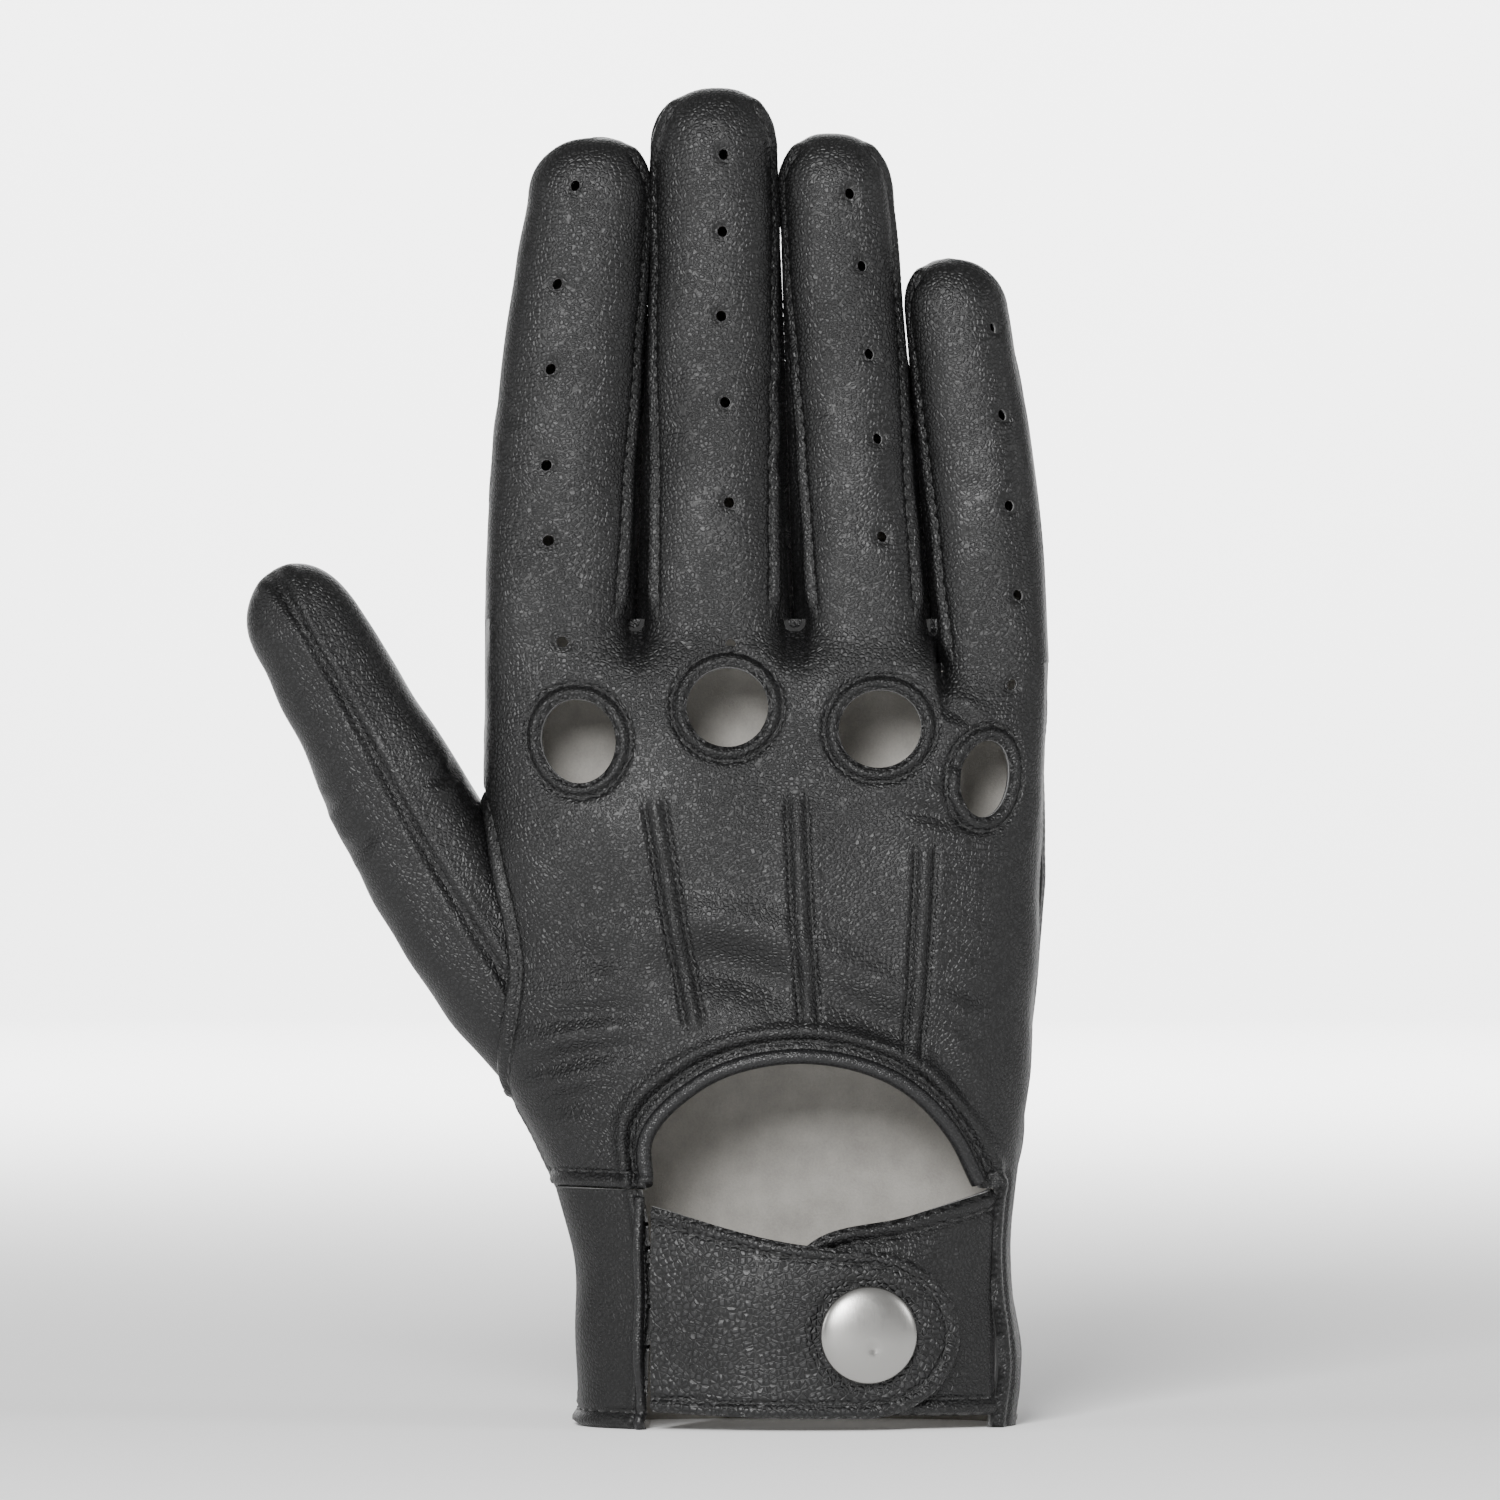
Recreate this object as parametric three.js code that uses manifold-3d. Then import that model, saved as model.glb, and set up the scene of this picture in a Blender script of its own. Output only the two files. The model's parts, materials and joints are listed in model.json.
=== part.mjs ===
// A right-hand driving glove in thin unlined leather, standing with its fingers up.
// Millimetres. X runs from the thumb side (-) to the little-finger side (+), Y from the back of
// the hand (-) to the palm (+), and Z up along the fingers. The origin is the centre of the
// cuff's mouth. Every leather piece is a closed sheet of its own, with a sewing gap round it.

import * as THREE from 'three';
import { mergeVertices } from 'three/addons/utils/BufferGeometryUtils.js';
import Module from 'manifold-3d';

const wasm = await Module();
wasm.setup();

// ---------------------------------------------------------------- driving dimensions

const leather = 1.1;             // thickness of the glove leather
const seamGap = 0.3;             // clearance between two pieces that are sewn together
const weldTolerance = 1e-4;

const crotchHeight = 138.5;      // cuff mouth to the forks between the long fingers
const littleDrop = 7.5;          // the little finger's fork lies this much lower
const cuffWidth = 74.8;
const cuffDepth = 42;            // back to palm, at the cuff
const thumbBaseDepth = 36;
const knuckleDepth = 30;
const crotchDepth = 20.4;
const fingerRowCentre = -4.8;    // the row of fingers sits a little towards the thumb
const fingerSpacing = 1.1;       // clear space between two finger tubes at their bases

const fingerBaseDepth = 18.8;
const fingerTopDepth = 15.6;
const fingerDome = 11;           // length of the rounded end
const fingerSquareness = 2.4;    // 2 is an ellipse, more is squarer
const fourchetteAngle = 30;      // half the angle that a side strip spans at the finger's base
const fourchettePoint = 3;       // the same at the strip's pointed end
const bendAllowance = 5.5;       // soft length past a finger's middle joint

const fingers = [
  { name: 'index', base: 25.0, top: 21.0, length: 82.9, lean: 4.2, joint: 27, drop: 0 },
  { name: 'middle', base: 26.6, top: 20.8, length: 91.3, lean: 0, joint: 29.5, drop: 0 },
  { name: 'ring', base: 23.4, top: 18.4, length: 83.5, lean: -4.0, joint: 27.5, drop: 0 },
  { name: 'little', base: 18.6, top: 17.0, length: 69.5, lean: -6.0, joint: 23, drop: littleDrop },
];

const thumbRoot = new THREE.Vector3(-37.9, 2, 57.4);
const thumbLean = -30.2;         // degrees from upright, towards the thumb side
const thumbLength = 103.6;
const thumbBaseWidth = 26;
const thumbTopWidth = 19.6;
const thumbBaseDepthAcross = 23;
const thumbTopDepth = 18;
const thumbDome = 13.6;
const thumbGussetLength = 52;    // the fixed part, sewn into the hand
const thumbHeelLength = 30;      // over this length the gusset widens from its root
const thumbHeelShare = 0.6;
const thumbSoftLength = 16;      // the part that bends

// Each hole's centre: its shift from the finger's middle, and its depth below the forks
const knuckleSizes = {
  index: { shift: 1.15, below: 20.9, across: 6.0, up: 7.0 },
  middle: { shift: 2.35, below: 15.0, across: 6.7, up: 6.7 },
  ring: { shift: 2.75, below: 18.8, across: 6.6, up: 6.5 },
  little: { shift: 2.25, below: 27.4, across: 4.4, up: 6.4 },
};
const facingWidth = 3.6;
const facingThickness = 0.7;

const thumbEdge = -cuffWidth / 2;
const littleEdge = cuffWidth / 2;
const sidePanelTop = 41;         // seam between the back and the cuff's side panel
const bindingRadius = 1.2;       // the rolled edge of the back opening
const openingFoot = sidePanelTop + 1;
const openingHeight = 21.8;
const openingTop = openingFoot + openingHeight;
const openingThumbSide = thumbEdge + 12.1;
const openingLittleSide = littleEdge - 5.8;
const pipingRadius = 0.9;
const pipingX = thumbEdge + 10.8;
const rearEdgeX = littleEdge - 2.9; // seam where the under strap starts

const strapThickness = 1.6;
const strapLift = 1.0;           // the strap's inner face stands this far off the cuff
const strapHingeX = pipingX + pipingRadius + 0.7;
const strapFoot = 2.2;
const strapFootRise = 1;         // its lower edge climbs this much towards the sewn end
const strapRoot = sidePanelTop - 2.8; // height of the strap's sewn end
const strapEndWidth = 28.6;
const strapEndRound = 16.4;
const snapX = 12;
const snapZ = strapFoot + strapEndWidth / 2;
const snapCapRadius = 8.4;
const snapCapHeight = 2.6;
const snapRimHeight = 0.9;       // upright edge of the cap, below its dome
const snapRimRound = 0.5;
const socketRadius = 5.0;
const socketBore = 2.9;
const studClearance = 0.6;       // round the stud's head, in the socket
const studNeckDepth = 0.5;
const studFlangeRadius = 4.6;
const studFlangeHeight = 0.4;
const postRadius = 1.2;
const postClearance = 0.4;
const postFlangeRadius = 4.2;
const postFlangeHeight = 0.6;
const underStrapEndX = -4;
const underStrapEndRise = 6;     // its end is rounded over this length
const underStrapFoot = strapFoot + 0.8;
const underStrapTop = sidePanelTop - 0.5; // at the seam
const underStrapMeet = underStrapTop - 8; // where its top edge passes under the strap's
const underStrapMeetX = 6;

const foldThickness = 0.8;       // leather of the folds that close the forks
const foldDip = 2.2;             // how far a fold hangs into its fork

// ---------------------------------------------------------------- materials

const blackLeather = new THREE.MeshStandardMaterial({ color: 0x242426, roughness: 0.55, metalness: 0 });
const strapLeather = new THREE.MeshStandardMaterial({ color: 0x2b2b2d, roughness: 0.5, metalness: 0 });
const sideLeather = new THREE.MeshStandardMaterial({ color: 0x1b1b1d, roughness: 0.5, metalness: 0 });
const nickel = new THREE.MeshStandardMaterial({ color: 0xc8c8c6, roughness: 0.3, metalness: 1 });

// ---------------------------------------------------------------- meshes and solids

const radians = THREE.MathUtils.degToRad;
const mix = THREE.MathUtils.lerp;
const glove = new THREE.Group();

// Welds a soup of triangles into one closed body that faces outwards
function closedBody(points, triangles) {
  const raw = new THREE.BufferGeometry();
  raw.setAttribute('position', new THREE.Float32BufferAttribute(points.flatMap((p) => p.toArray()), 3));
  raw.setIndex(triangles.flat());
  const welded = mergeVertices(raw, weldTolerance);
  const at = (i) => new THREE.Vector3().fromBufferAttribute(welded.attributes.position, i);
  const index = Array.from(welded.index.array);
  const kept = [];
  let volume = 0;
  for (let t = 0; t < index.length; t += 3) {
    const [a, b, c] = index.slice(t, t + 3);
    if (a === b || b === c || c === a) continue;
    kept.push([a, b, c]);
    volume += at(a).dot(at(b).cross(at(c)));
  }
  const turned = volume < 0 ? kept.map(([a, b, c]) => [a, c, b]) : kept;
  welded.setIndex(turned.flat());
  return welded;
}

// A sheet of leather: pointAt(u, v, side) gives its outer face at side 0 and its inner face at side 1
function sheet(pointAt, columns, rows, closedRound = false) {
  const points = [];
  const triangles = [];
  for (const side of [0, 1]) {
    for (let row = 0; row <= rows; row += 1) {
      for (let column = 0; column <= columns; column += 1) {
        points.push(pointAt(column / columns, row / rows, side));
      }
    }
  }
  const at = (side, row, column) => (side * (rows + 1) + row) * (columns + 1) + column;
  const quad = (a, b, c, d) => triangles.push([a, b, c], [a, c, d]);
  for (let row = 0; row < rows; row += 1) {
    for (let column = 0; column < columns; column += 1) {
      quad(at(0, row, column), at(0, row, column + 1), at(0, row + 1, column + 1), at(0, row + 1, column));
      quad(at(1, row, column), at(1, row + 1, column), at(1, row + 1, column + 1), at(1, row, column + 1));
    }
  }
  for (let column = 0; column < columns; column += 1) {
    quad(at(0, 0, column), at(1, 0, column), at(1, 0, column + 1), at(0, 0, column + 1));
    quad(at(0, rows, column), at(0, rows, column + 1), at(1, rows, column + 1), at(1, rows, column));
  }
  for (let row = 0; row < rows && !closedRound; row += 1) {
    quad(at(0, row, 0), at(0, row + 1, 0), at(1, row + 1, 0), at(1, row, 0));
    quad(at(0, row, columns), at(1, row, columns), at(1, row + 1, columns), at(0, row + 1, columns));
  }
  return closedBody(points, triangles);
}

// A full solid through a stack of closed rings, with a flat fan at each end
function solidThrough(ringPoint, columns, rows) {
  const points = [];
  const triangles = [];
  for (let row = 0; row <= rows; row += 1) {
    for (let column = 0; column < columns; column += 1) points.push(ringPoint(column / columns, row / rows));
  }
  const at = (row, column) => row * columns + (column % columns);
  for (let row = 0; row < rows; row += 1) {
    for (let column = 0; column < columns; column += 1) {
      triangles.push([at(row, column), at(row, column + 1), at(row + 1, column + 1)]);
      triangles.push([at(row, column), at(row + 1, column + 1), at(row + 1, column)]);
    }
  }
  for (const row of [0, rows]) {
    const middle = new THREE.Vector3();
    for (let column = 0; column < columns; column += 1) middle.add(points[at(row, column)]);
    const hub = points.push(middle.divideScalar(columns)) - 1;
    for (let column = 0; column < columns; column += 1) {
      const spoke = [hub, at(row, column), at(row, column + 1)];
      triangles.push(row === 0 ? [spoke[0], spoke[2], spoke[1]] : spoke);
    }
  }
  return closedBody(points, triangles);
}

// An outline in X and Z, made solid from y = front to y = back
function prism(shape, front, back, curveSegments = 20) {
  const solid = new THREE.ExtrudeGeometry(shape, { depth: back - front, bevelEnabled: false, curveSegments });
  return solid.rotateX(Math.PI / 2).translate(0, back, 0);
}

function toManifold(geometry) {
  const bare = geometry.clone();
  for (const name of ['normal', 'uv']) bare.deleteAttribute(name);
  const welded = mergeVertices(bare, weldTolerance);
  const vertProperties = Float32Array.from(welded.attributes.position.array);
  const triVerts = Uint32Array.from(welded.index.array);
  return new wasm.Manifold(new wasm.Mesh({ numProp: 3, vertProperties, triVerts }));
}

// The largest connected piece of a solid, so that no crumbs are left beside a cut
function fromManifold(solid) {
  const pieces = solid.decompose().sort((a, b) => b.volume() - a.volume());
  const { vertProperties, triVerts } = pieces[0].getMesh();
  const geometry = new THREE.BufferGeometry();
  geometry.setAttribute('position', new THREE.Float32BufferAttribute(vertProperties, 3));
  geometry.setIndex(Array.from(triVerts));
  return geometry;
}

function cutAway(geometry, ...cutters) {
  return fromManifold(cutters.reduce((solid, cutter) => solid.subtract(toManifold(cutter)), toManifold(geometry)));
}

function keepInside(geometry, outline) {
  return fromManifold(toManifold(geometry).intersect(toManifold(outline)));
}

function addPart(name, geometry, material, parent = glove) {
  const mesh = new THREE.Mesh(geometry, material);
  mesh.name = name;
  parent.add(mesh);
  return mesh;
}

// A point of a square-shouldered oval, at an angle of its stretched circle
function oval(angle, halfWidth, halfDepth, squareness) {
  const c = Math.cos(angle);
  const s = Math.sin(angle);
  const reach = (Math.abs(c) ** squareness + Math.abs(s) ** squareness) ** (-1 / squareness);
  return [halfWidth * reach * c, halfDepth * reach * s];
}

// ---------------------------------------------------------------- the hand's form

const fingerRowWidth = fingers.reduce((sum, f) => sum + f.base, 0) + fingerSpacing * (fingers.length - 1);
const rowStart = fingerRowCentre - fingerRowWidth / 2;
const rowEnd = rowStart + fingerRowWidth;
const fingerStart = (order) => fingers.slice(0, order).reduce((x, f) => x + f.base + fingerSpacing, rowStart);

const knuckleHoles = fingers.map((finger, order) => {
  const size = knuckleSizes[finger.name];
  const middle = fingerStart(order) + finger.base / 2;
  return { name: finger.name, ...size, x: middle + size.shift, z: crotchHeight - size.below };
});

// Heights are shares of the crotch height; the two sides run from the cuff's edge (0) to the
// finger row's edge (1).
const stations = [
  { height: 0, thumbSide: 0, littleSide: 0, depth: cuffDepth, squareness: 2.2 },
  { height: 0.17, thumbSide: 0.01, littleSide: -0.02, depth: cuffDepth, squareness: 2.2 },
  { height: 0.28, thumbSide: 0.18, littleSide: 0.0, depth: 0.5 * (cuffDepth + thumbBaseDepth), squareness: 2.2 },
  { height: 0.355, thumbSide: 0.46, littleSide: 0.28, depth: thumbBaseDepth, squareness: 2.3 },
  { height: 0.43, thumbSide: 0.82, littleSide: 0.45, depth: thumbBaseDepth, squareness: 2.4 },
  { height: 0.58, thumbSide: 0.97, littleSide: 0.74, depth: 0.5 * (thumbBaseDepth + knuckleDepth), squareness: 2.7 },
  { height: 0.77, thumbSide: 1.0, littleSide: 0.87, depth: knuckleDepth, squareness: 3.0 },
  { height: 0.9, thumbSide: 1.0, littleSide: 0.95, depth: 0.5 * (knuckleDepth + crotchDepth), squareness: 3.5 },
  { height: 1, thumbSide: 1, littleSide: 1, depth: crotchDepth, squareness: 4.0 },
];

// The hand's section at a height: its centre, half width, half depth and squareness
function handSection(z) {
  const share = THREE.MathUtils.clamp(z / crotchHeight, 0, 1);
  const upper = Math.max(1, stations.findIndex((s) => s.height >= share));
  const [a, b] = [stations[upper - 1], stations[upper]];
  const t = (share - a.height) / (b.height - a.height);
  const left = mix(-cuffWidth / 2, rowStart, mix(a.thumbSide, b.thumbSide, t));
  const right = mix(cuffWidth / 2, rowEnd, mix(a.littleSide, b.littleSide, t));
  return {
    centre: (left + right) / 2,
    halfWidth: (right - left) / 2,
    halfDepth: mix(a.depth, b.depth, t) / 2,
    squareness: mix(a.squareness, b.squareness, t),
  };
}

function handPoint(angle, z, inset) {
  const section = handSection(z);
  const [x, y] = oval(angle, section.halfWidth - inset, section.halfDepth - inset, section.squareness);
  return new THREE.Vector3(section.centre + x, y, z);
}

// The angle of the back's skin at a given x
function backAngle(x, z) {
  const { centre, halfWidth, squareness } = handSection(z);
  const share = Math.abs(x - centre) / halfWidth;
  const rise = Math.atan((share ** -squareness - 1) ** (1 / squareness));
  return x > centre ? 2 * Math.PI - rise : Math.PI + rise;
}

// The back's skin at a given x and z
function backPoint(x, z, inset) {
  const { centre, halfWidth, halfDepth, squareness } = handSection(z);
  const share = Math.min(Math.abs(x - centre) / (halfWidth - inset), 1);
  return new THREE.Vector3(x, -(halfDepth - inset) * (1 - share ** squareness) ** (1 / squareness), z);
}

// A back or palm piece is moved this far off the middle, so that its side seam stays open
const halfGap = new THREE.Vector3(0, seamGap / 2, 0);
const handSkin = (from, to, shift) => (u, v, side) =>
  handPoint(mix(from, to, u), mix(0, crotchHeight, v), side * leather).add(shift);

// The hand's whole form, grown by enough to clear the facets of its panels
const handOutside = solidThrough(
  (u, v) => handPoint(2 * Math.PI * u, mix(-1, crotchHeight + 1, v), -3 * seamGap), 48, 18,
);

// ---------------------------------------------------------------- fingers and thumb

function tubePoint(tube, level, angle, inset) {
  const straight = tube.length - tube.dome;
  const share = Math.min(level / straight, 1);
  const turn = (Math.max(level - straight, 0) / tube.dome) * (Math.PI / 2);
  const heel = tube.heelLength ? Math.sin((Math.min(level / tube.heelLength, 1) * Math.PI) / 2) : 1;
  const swell = mix(tube.heelShare ?? 1, 1, heel);
  const halfWidth = ((swell * mix(tube.baseWidth, tube.topWidth, share)) / 2 - inset) * Math.cos(turn);
  const halfDepth = ((swell * mix(tube.baseDepth, tube.topDepth, share)) / 2 - inset) * Math.cos(turn);
  const height = Math.min(level, straight) + (tube.dome - inset) * Math.sin(turn);
  const [x, y] = oval(angle, halfWidth, halfDepth, tube.squareness);
  return tube.root.clone()
    .addScaledVector(tube.direction, height)
    .addScaledVector(tube.across, x)
    .add(new THREE.Vector3(0, y, 0));
}

function fingerTube(finger, start) {
  return {
    root: new THREE.Vector3(start + finger.base / 2, 0, crotchHeight - finger.drop),
    direction: new THREE.Vector3(Math.tan(radians(finger.lean)), 0, 1),
    across: new THREE.Vector3(1, 0, 0),
    length: finger.length,
    dome: fingerDome,
    baseWidth: finger.base,
    topWidth: finger.top,
    baseDepth: fingerBaseDepth,
    topDepth: fingerTopDepth,
    squareness: fingerSquareness,
  };
}

// Half the angle of the side strip at a level: widest at the crotch, gone where the dome starts
function stripAngle(tube, level) {
  const end = tube.length - tube.dome;
  return radians(fourchetteAngle) * Math.max(0, 1 - level / end);
}

// One side of a finger, back or palm, between two levels
function fingerFace(tube, face, strips, from, to, rows) {
  const turn = face === 'back' ? -1 : 1;
  const shift = halfGap.clone().multiplyScalar(turn);
  return sheet((u, v, side) => {
    const level = mix(from, to, v);
    const strip = stripAngle(tube, level);
    const thumbSide = Math.PI - (strips.thumbside ? strip : 0);
    const littleSide = strips.littleside ? strip : 0;
    return tubePoint(tube, level, turn * mix(thumbSide, littleSide, u), side * leather).add(shift);
  }, 9, rows);
}

// The narrow strip that joins back and palm on a side that faces another finger
function fourchette(tube, edge, from, to, rows) {
  const facing = edge === 'thumbside' ? Math.PI : 0;
  const trim = seamGap / tube.baseDepth;
  return sheet((u, v, side) => {
    const level = mix(from, to, v);
    const half = stripAngle(tube, level) - trim;
    return tubePoint(tube, level, facing + mix(-half, half, u), side * leather);
  }, 3, rows);
}

function addFinger(finger, order) {
  const tube = fingerTube(finger, fingerStart(order));
  const strips = { thumbside: order > 0, littleside: order < fingers.length - 1 };
  const softEnd = finger.joint + bendAllowance;
  const spans = [
    { part: 'lower', from: seamGap, to: softEnd, rows: 5 },
    { part: 'upper', from: softEnd + seamGap, to: finger.length, rows: 9 },
  ];
  const stripEnd = (tube.length - tube.dome) * (1 - fourchettePoint / fourchetteAngle);
  for (const { part, from, to, rows } of spans) {
    for (const face of ['back', 'palm']) {
      addPart(`${finger.name}_${face}_${part}`, fingerFace(tube, face, strips, from, to, rows), blackLeather);
    }
    for (const edge of Object.keys(strips).filter((name) => strips[name])) {
      const strip = fourchette(tube, edge, from, Math.min(to, stripEnd), rows - 1);
      addPart(`${finger.name}_fourchette_${edge}_${part}`, strip, sideLeather);
    }
  }
}

const thumb = {
  root: thumbRoot,
  direction: new THREE.Vector3(Math.sin(radians(thumbLean)), 0, Math.cos(radians(thumbLean))),
  across: new THREE.Vector3(Math.cos(radians(thumbLean)), 0, -Math.sin(radians(thumbLean))),
  length: thumbLength,
  dome: thumbDome,
  heelLength: thumbHeelLength,
  heelShare: thumbHeelShare,
  baseWidth: thumbBaseWidth,
  topWidth: thumbTopWidth,
  baseDepth: thumbBaseDepthAcross,
  topDepth: thumbTopDepth,
  squareness: 2.2,
};

function addThumb() {
  const fullTurn = 2 * Math.PI;
  const gusset = sheet(
    (u, v, side) => tubePoint(thumb, mix(0, thumbGussetLength, v), fullTurn * u, side * leather), 24, 8, true,
  );
  addPart('thumb_gusset', cutAway(gusset, handOutside), sideLeather);
  const softEnd = thumbGussetLength + thumbSoftLength;
  const spans = [
    { part: 'lower', from: thumbGussetLength + seamGap, to: softEnd, rows: 3 },
    { part: 'upper', from: softEnd + seamGap, to: thumbLength, rows: 8 },
  ];
  for (const { part, from, to, rows } of spans) {
    for (const [half, facing] of [['outer', Math.PI], ['inner', 0]]) {
      const shift = thumb.across.clone().multiplyScalar((half === 'outer' ? -1 : 1) * seamGap / 2);
      const shell = sheet((u, v, side) => {
        const angle = facing + mix(-Math.PI / 2, Math.PI / 2, u);
        return tubePoint(thumb, mix(from, to, v), angle, side * leather).add(shift);
      }, 9, rows);
      addPart(`thumb_${half}_${part}`, shell, blackLeather);
    }
  }
}

// ---------------------------------------------------------------- knuckle holes

// Round a hole, at a share of a full turn, at a distance outside the hole's edge
function holeRim(hole, turn, outside, inset) {
  const angle = backAngle(hole.x, hole.z);
  const step = 0.01;
  const speed = handPoint(angle, hole.z, 0).distanceTo(handPoint(angle + step, hole.z, 0)) / step;
  const across = (hole.across + outside) * Math.cos(2 * Math.PI * turn);
  const up = (hole.up + outside) * Math.sin(2 * Math.PI * turn);
  return handPoint(angle + across / speed, hole.z + up, inset);
}

// The bore reaches this far outside and inside the skin
const boreOutside = 3;
const boreInside = 4;
const holePlug = (hole) => solidThrough((u, v) => holeRim(hole, u, 0, mix(-boreOutside, boreInside, v)), 24, 1);

function facing(hole) {
  const depth = leather + seamGap;
  return sheet((u, v, side) => holeRim(hole, u, facingWidth * v, depth + side * facingThickness), 24, 1, true);
}

// ---------------------------------------------------------------- back opening and cuff

const openingWidth = openingLittleSide - openingThumbSide;
const openingCurve = new THREE.SplineCurve([
  new THREE.Vector2(openingThumbSide + 0.3, openingFoot),
  new THREE.Vector2(openingThumbSide, mix(openingFoot, openingTop, 0.32)),
  new THREE.Vector2(openingThumbSide + 0.15 * openingWidth, mix(openingFoot, openingTop, 0.77)),
  new THREE.Vector2(openingThumbSide + 0.46 * openingWidth, openingTop),
  new THREE.Vector2(openingThumbSide + 0.78 * openingWidth, mix(openingFoot, openingTop, 0.77)),
  new THREE.Vector2(openingThumbSide + 0.94 * openingWidth, mix(openingFoot, openingTop, 0.32)),
  new THREE.Vector2(openingLittleSide, openingFoot),
]);

// The back leaves off a little outside the rolled edge, and gives way to the straps below it
function openingCut() {
  const outside = bindingRadius + seamGap;
  const steps = 28;
  const shape = new THREE.Shape();
  const far = cuffWidth;
  shape.moveTo(-far, -1);
  shape.lineTo(-far, sidePanelTop);
  for (let i = 0; i <= steps; i += 1) {
    const along = openingCurve.getTangent(i / steps);
    const point = openingCurve.getPoint(i / steps).add(new THREE.Vector2(-along.y, along.x).multiplyScalar(outside));
    shape.lineTo(point.x, Math.max(point.y, sidePanelTop));
  }
  shape.lineTo(rearEdgeX, sidePanelTop);
  shape.lineTo(rearEdgeX, -1);
  return prism(shape, -cuffDepth, 0);
}

function openingBinding() {
  const steps = 26;
  const path = [];
  for (let i = 0; i <= steps; i += 1) {
    const point = openingCurve.getPoint(i / steps);
    path.push(backPoint(point.x, point.y, leather / 2));
  }
  return tubeAlong(path, bindingRadius, steps);
}

// A round cord of eight sides along a smooth path
function tubeAlong(points, radius, steps) {
  const circle = new THREE.Shape().absarc(0, 0, radius, 0, 2 * Math.PI, false);
  const path = new THREE.CatmullRomCurve3(points);
  return new THREE.ExtrudeGeometry(circle, { extrudePath: path, steps, curveSegments: 4, bevelEnabled: false });
}

function seamPiping() {
  const foot = 0.4;
  const top = sidePanelTop - pipingRadius - seamGap;
  const heights = [0, 1 / 3, 2 / 3, 1].map((share) => mix(foot, top, share));
  return tubeAlong(heights.map((z) => backPoint(pipingX, z, leather / 2)), pipingRadius, 6);
}

function cuffSidePanel() {
  return sheet((u, v, side) => {
    const z = mix(0, sidePanelTop - seamGap, v);
    const angle = mix(Math.PI, backAngle(pipingX - pipingRadius - 4 * seamGap, z), u);
    return handPoint(angle, z, side * leather).sub(halfGap);
  }, 6, 6);
}

// A sheet that lies on the back between two x and two z, from one height off the skin to another
function backSheet(x, z, outer, inner, columns, rows) {
  return sheet((u, v, side) => backPoint(mix(...x, u), mix(...z, v), side ? -inner : -outer), columns, rows);
}

function strapOutline() {
  const shape = new THREE.Shape();
  const start = strapHingeX + seamGap;
  const middle = strapFoot + strapEndWidth / 2;
  shape.moveTo(start, strapFoot + strapFootRise);
  shape.lineTo(snapX, strapFoot);
  shape.absellipse(snapX, middle, strapEndRound, strapEndWidth / 2, -Math.PI / 2, Math.PI / 2, false);
  shape.lineTo(start, strapRoot);
  return shape;
}

const snapSeat = backPoint(snapX, snapZ, 0);
const snapOut = seatNormal(snapX, snapZ);

function seatNormal(x, z) {
  const step = 0.5;
  const along = backPoint(x + step, z, 0).sub(backPoint(x - step, z, 0));
  return new THREE.Vector3(along.y, -along.x, 0).normalize();
}

// The snap's axis leaves the cuff square to its skin: local +Y is outwards
const snap = new THREE.Group();
snap.position.copy(snapSeat);
snap.rotation.z = Math.atan2(-snapOut.x, snapOut.y);
glove.add(snap);

function snapBore(radius, from, to) {
  const bore = new THREE.CylinderGeometry(radius, radius, to - from, 20).translate(0, (from + to) / 2, 0);
  snap.updateMatrixWorld(true);
  return bore.applyMatrix4(snap.matrixWorld);
}

function strap() {
  const x = [strapHingeX + seamGap - 1, snapX + strapEndRound + 1];
  const z = [strapFoot - 1, strapRoot + 1];
  const blank = backSheet(x, z, strapLift + strapThickness, strapLift, 14, 4);
  const cutOut = keepInside(blank, prism(strapOutline(), -cuffDepth, 0));
  return cutAway(cutOut, snapBore(socketRadius + seamGap, 0, strapLift + strapThickness + 2));
}

function underStrap() {
  const foot = underStrapFoot;
  const roundEnd = underStrapEndX + underStrapEndRise;
  const slope = (underStrapTop - underStrapMeet) / (rearEdgeX - underStrapMeetX);
  const shape = new THREE.Shape();
  shape.moveTo(rearEdgeX - seamGap, foot);
  shape.lineTo(rearEdgeX - seamGap, underStrapTop);
  shape.lineTo(roundEnd, underStrapTop - slope * (rearEdgeX - roundEnd));
  shape.quadraticCurveTo(
    underStrapEndX, underStrapMeet - underStrapEndRise / 2, underStrapEndX, mix(foot, underStrapMeet, 0.5),
  );
  shape.quadraticCurveTo(underStrapEndX, foot, roundEnd, foot);
  const blank = backSheet([underStrapEndX - 1, rearEdgeX], [foot - 1, underStrapTop + 1], 0, -leather, 12, 5);
  const cutOut = keepInside(blank, prism(shape, -cuffDepth, 0, 8));
  return cutAway(cutOut, snapBore(postRadius + postClearance, -leather - 1, 1));
}

const lathe = (profile, sides) => new THREE.LatheGeometry(profile.map(([r, h]) => new THREE.Vector2(r, h)), sides);

function snapCap() {
  const base = strapLift + strapThickness + seamGap;
  const profile = [[0, base], [snapCapRadius - snapRimRound, base], [snapCapRadius, base + snapRimRound]];
  const steps = 6;
  for (let i = 1; i <= steps; i += 1) {
    const turn = ((i / steps) * Math.PI) / 2;
    const rise = mix(snapRimHeight, snapCapHeight, Math.sin(turn));
    profile.push([(snapCapRadius - snapRimRound / 2) * Math.cos(turn), base + rise]);
  }
  profile[profile.length - 1][0] = 0;
  return lathe(profile, 32);
}

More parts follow.
